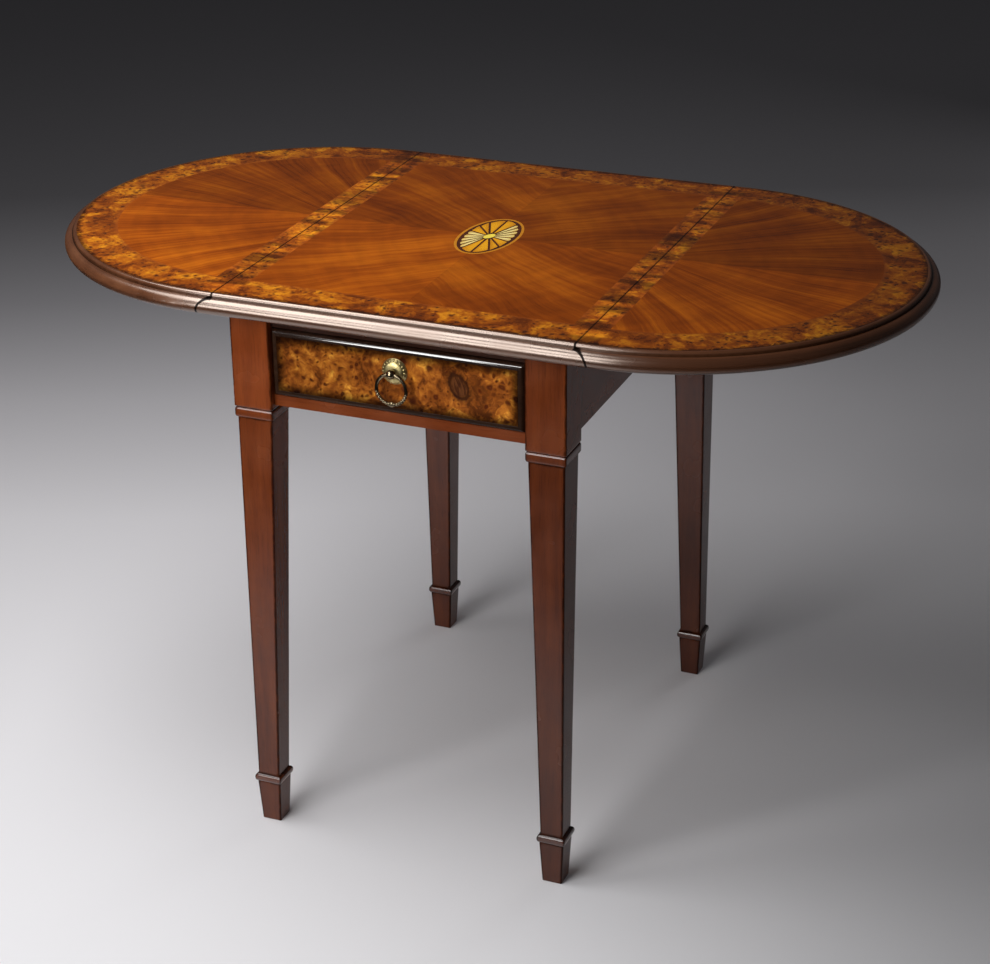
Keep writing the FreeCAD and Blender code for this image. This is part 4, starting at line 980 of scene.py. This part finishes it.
# %% Rosette
rosette_low, rosette_high = cad("pull_rosette")
PULL_Z = (rosette_low.z + rosette_high.z) / 2
ROSETTE, ROSETTE_TALL = rosette_high.x, rosette_high.y - rosette_low.y
SHOULDER, SHOULDER_TALL = 11.0, 3.4
DOME_LOW, DOME_FLAT, DOME_STEPS = SHOULDER_TALL - 0.5, 3.4, 9
TEETH, TOOTH_LIFT = 20, 2.1
RIM_ROWS = ((ROSETTE, 0.0), (ROSETTE, 0.6), (ROSETTE - 0.5, 1.0), (SHOULDER, SHOULDER_TALL),
            (SHOULDER - 2.0, SHOULDER_TALL - 0.4))
dome_rows = quarter((DOME_LOW, SHOULDER), (ROSETTE_TALL, DOME_FLAT), True, DOME_STEPS)
rim = new_mesh("rosette_rim", *turned(RIM_ROWS))
dome = new_mesh("rosette_dome", *turned([(radius, height) for height, radius in dome_rows]))
teeth = copies_on_arc("rosette_teeth", TEETH, radius=12.3, first=0.0, sweep=math.tau * (TEETH - 1) / TEETH,
                      bead_size=(1.15, 2.0, 1.0), tilt=math.radians(38), bead_sides=10)
teeth.transform(Matrix.Translation((0, 0, TOOTH_LIFT * MM)))
rosette = join_meshes("rosette_toothed", (0, rosette_high.y, PULL_Z), dome_brass, rim, dome, teeth)
dress(rosette, "rosette_toothed", "drawer", ["pull_rosette"], 40)

# %% [markdown]
# ## The ring of the pull
# The upper half of the ring is plain round wire, where it runs through its eye. The lower half is a
# thinner wire strung with tilted beads, so it looks like rope, with three larger beads at its lowest
# point.

# %% Ring
ring_low, ring_high = cad("pull_ring")
WIRE = (ring_high.y - ring_low.y) / 2
RING = ring_high.x - WIRE
PLAIN_FROM, PLAIN_TO = math.radians(-14), math.radians(194)
BEADED_FROM, BEADED_TO, BEADED_WIRE = math.radians(192), math.radians(348), 0.7
BEADS, KNOBS, KNOB_SHAPE = 15, ((1.7, 1, 0.0), (1.35, 2, 8.0)), (1.0, 1.75, 1.65)


def wire_arc(first, last, wire, steps, sides=16):
    """Round wire bent along an arc of the ring."""
    rings = []
    for step in range(steps + 1):
        angle = first + (last - first) * step / steps
        ring = []
        for side in range(sides):
            swing = math.tau * side / sides
            reach = RING + wire * math.cos(swing)
            ring.append((reach * math.cos(angle), reach * math.sin(angle), wire * math.sin(swing)))
        rings.append(ring)
    return new_mesh("ring_wire", *loft(rings))


parts = [
    wire_arc(PLAIN_FROM, PLAIN_TO, WIRE, 72),
    wire_arc(BEADED_FROM, BEADED_TO, WIRE * BEADED_WIRE, 48),
    copies_on_arc("ring_beads", BEADS, RING, BEADED_FROM, BEADED_TO - BEADED_FROM,
                  bead_size=(1.55, 2.15, 2.15), tilt=math.radians(25), bead_sides=12),
]
for size, copies, swing in KNOBS:
    first, sweep = math.radians(270 - swing), math.radians(2 * swing or 1)
    shape = [size * share for share in KNOB_SHAPE]
    parts.append(copies_on_arc(f"ring_knob_{copies}", copies, RING, first, sweep, shape, 0.0, 14))
ring = join_meshes("ring_beaded", (0, (ring_low.y + ring_high.y) / 2, PULL_Z - RING), dark_brass, *parts)
dress(ring, "ring_beaded", "pull_ring", ["pull_ring"], 40)

# %% [markdown]
# ## Camera
# The camera repeats the angle of the photograph. Its turn, tilt, roll, distance and focal length
# were found by fitting the table's own corners. The lens follows from the focal length in pixels
# and the width of the picture.

# %% Camera
AZIMUTH, ELEVATION, ROLL = math.radians(22.428), math.radians(24.954), math.radians(-0.651)
DISTANCE, FOCAL_PIXELS, IMAGE_WIDE, SENSOR = 2593.3, 2271.7, 990.0, 36.0
AIM = Vector((3.3, 0.0, 340.6))
lens = bpy.data.cameras.new("camera")
lens.sensor_fit = "HORIZONTAL"
lens.sensor_width = SENSOR
lens.lens = FOCAL_PIXELS * SENSOR / IMAGE_WIDE
lens.clip_end = 100.0
camera = bpy.data.objects.new("camera", lens)
tilt = Matrix.Rotation(math.radians(90) - ELEVATION, 4, "X") @ Matrix.Rotation(ROLL, 4, "Z")
turn = Matrix.Rotation(AZIMUTH, 4, "Z") @ tilt
camera.matrix_world = Matrix.Translation(AIM * MM) @ turn @ Matrix.Translation((0, 0, DISTANCE * MM))
scene.collection.objects.link(camera)
scene.camera = camera
print("camera", round(lens.lens, 2), "mm")

# %% [markdown]
# ## Floor
# The table stands on a pale studio floor, painted darker behind it and to the right as shade where
# the light falls off. In reflections the floor is pale only in a pool round the table, because a wide
# pale floor would lay a grey veil over the polished front.

# %% Floor
FLOOR = 14000.0
WANDER, FALLOFF_SCALE, FALLOFF_SHIFT = 0.15, 0.25, 0.2
FLOOR_TONES = (
    (0.10, (0.82, 0.81, 0.83)),
    (0.36, (0.84, 0.82, 0.845)),
    (0.47, (0.70, 0.68, 0.705)),
    (0.58, (0.45, 0.435, 0.455)),
    (0.74, (0.225, 0.217, 0.228)),
    (1.0, (0.225, 0.217, 0.228)),
)
SHADE_ACROSS, SHADE_ALONG = (0.0, 1.0, 0.0, 0.44), (1.5, 3.4, 1.0, 0.0)
POOL_FRONT, POOL_LEFT, POOL_DARK = (-0.95, -0.5), (-1.0, -0.6), (0.02, 0.02, 0.02)


def studio_floor():
    """Pale floor, painted darker away from the front and towards the right where the light falls off."""
    f = Finish("studio floor")
    x, y, z = f.xyz()
    wander = f.minus(f.noise(f.vector(x, y, z), 1.1, 2.0), 0.5)
    depth = f.blend((x, -math.sin(AZIMUTH)), (y, math.cos(AZIMUTH)), (wander, WANDER))
    side = f.blend((x, math.cos(AZIMUTH)), (y, math.sin(AZIMUTH)), (wander, WANDER))
    # Painted falloff of light: the floor darkens away from the front, with painted shadow to the right.
    sweep = f.ramp(f.add_share(depth, FALLOFF_SCALE, FALLOFF_SHIFT), *FLOOR_TONES)
    shadow = f.times(f.ease(side, *SHADE_ACROSS), f.ease(depth, *SHADE_ALONG))
    colour = f.shade(sweep, f.minus(1.0, shadow))
    beyond = f.minus(1.0, f.times(f.ease(depth, *POOL_FRONT), f.ease(side, *POOL_LEFT)))
    mirrored = f.node("ShaderNodeLightPath", output="Is Glossy Ray")
    colour = f.mix(f.times(beyond, mirrored), colour, POOL_DARK)
    return f.finish(Base_Color=colour, Roughness=0.75, Specular_IOR_Level=0.2)


corners = [(-FLOOR, -FLOOR, 0), (FLOOR, -FLOOR, 0), (FLOOR, FLOOR, 0), (-FLOOR, FLOOR, 0)]
floor = bpy.data.objects.new("floor", new_mesh("floor", corners, [(0, 1, 2, 3)], studio_floor()))
scene.collection.objects.link(floor)
print("floor", 2 * FLOOR * MM, "m wide")

# %% [markdown]
# ## Light
# Two soft boxes, one above the other in front on the left, draw the bright lines along the moulded
# edge and the drawer bead. A third over the left leaf lights the top, and a weak one behind keeps the
# back readable. Their places are in metres.


# %% Lights
def soft_box(name, place, target, wide, tall, power, mirrored=True):
    """Rectangular lamp; one that isn't mirrored leaves no glint on polished wood."""
    lamp = bpy.data.lights.new(name, "AREA")
    lamp.shape = "RECTANGLE"
    lamp.size, lamp.size_y, lamp.energy = wide, tall, power
    thing = bpy.data.objects.new(name, lamp)
    thing.visible_glossy = mirrored
    thing.location = place
    thing.rotation_euler = (Vector(target) - Vector(place)).to_track_quat("-Z", "Y").to_euler()
    scene.collection.objects.link(thing)
    print(name, power, "W")


soft_box("lower front box", (-0.48, -1.6, 0.78), (0.0, -0.1, 0.7), wide=0.98, tall=0.56, power=10)
soft_box("upper front box", (-0.48, -1.5, 1.72), (0.0, -0.1, 0.9), wide=0.98, tall=0.85, power=14)
soft_box("overhead box", (-0.62, -0.3, 1.62), (-0.3, -0.15, 0.6), wide=0.9, tall=0.9, power=14.5)
soft_box("back fill", (0.9, 2.5, 0.9), (0, 0, 0.4), wide=0.9, tall=0.9, power=6, mirrored=False)
STUDIO_GREY = (0.05, 0.05, 0.053, 1.0)
world = bpy.data.worlds.new("studio")
scene.world = world
world.use_nodes = True
world.node_tree.nodes["Background"].inputs[0].default_value = STUDIO_GREY
scene.view_settings.view_transform = "Standard"
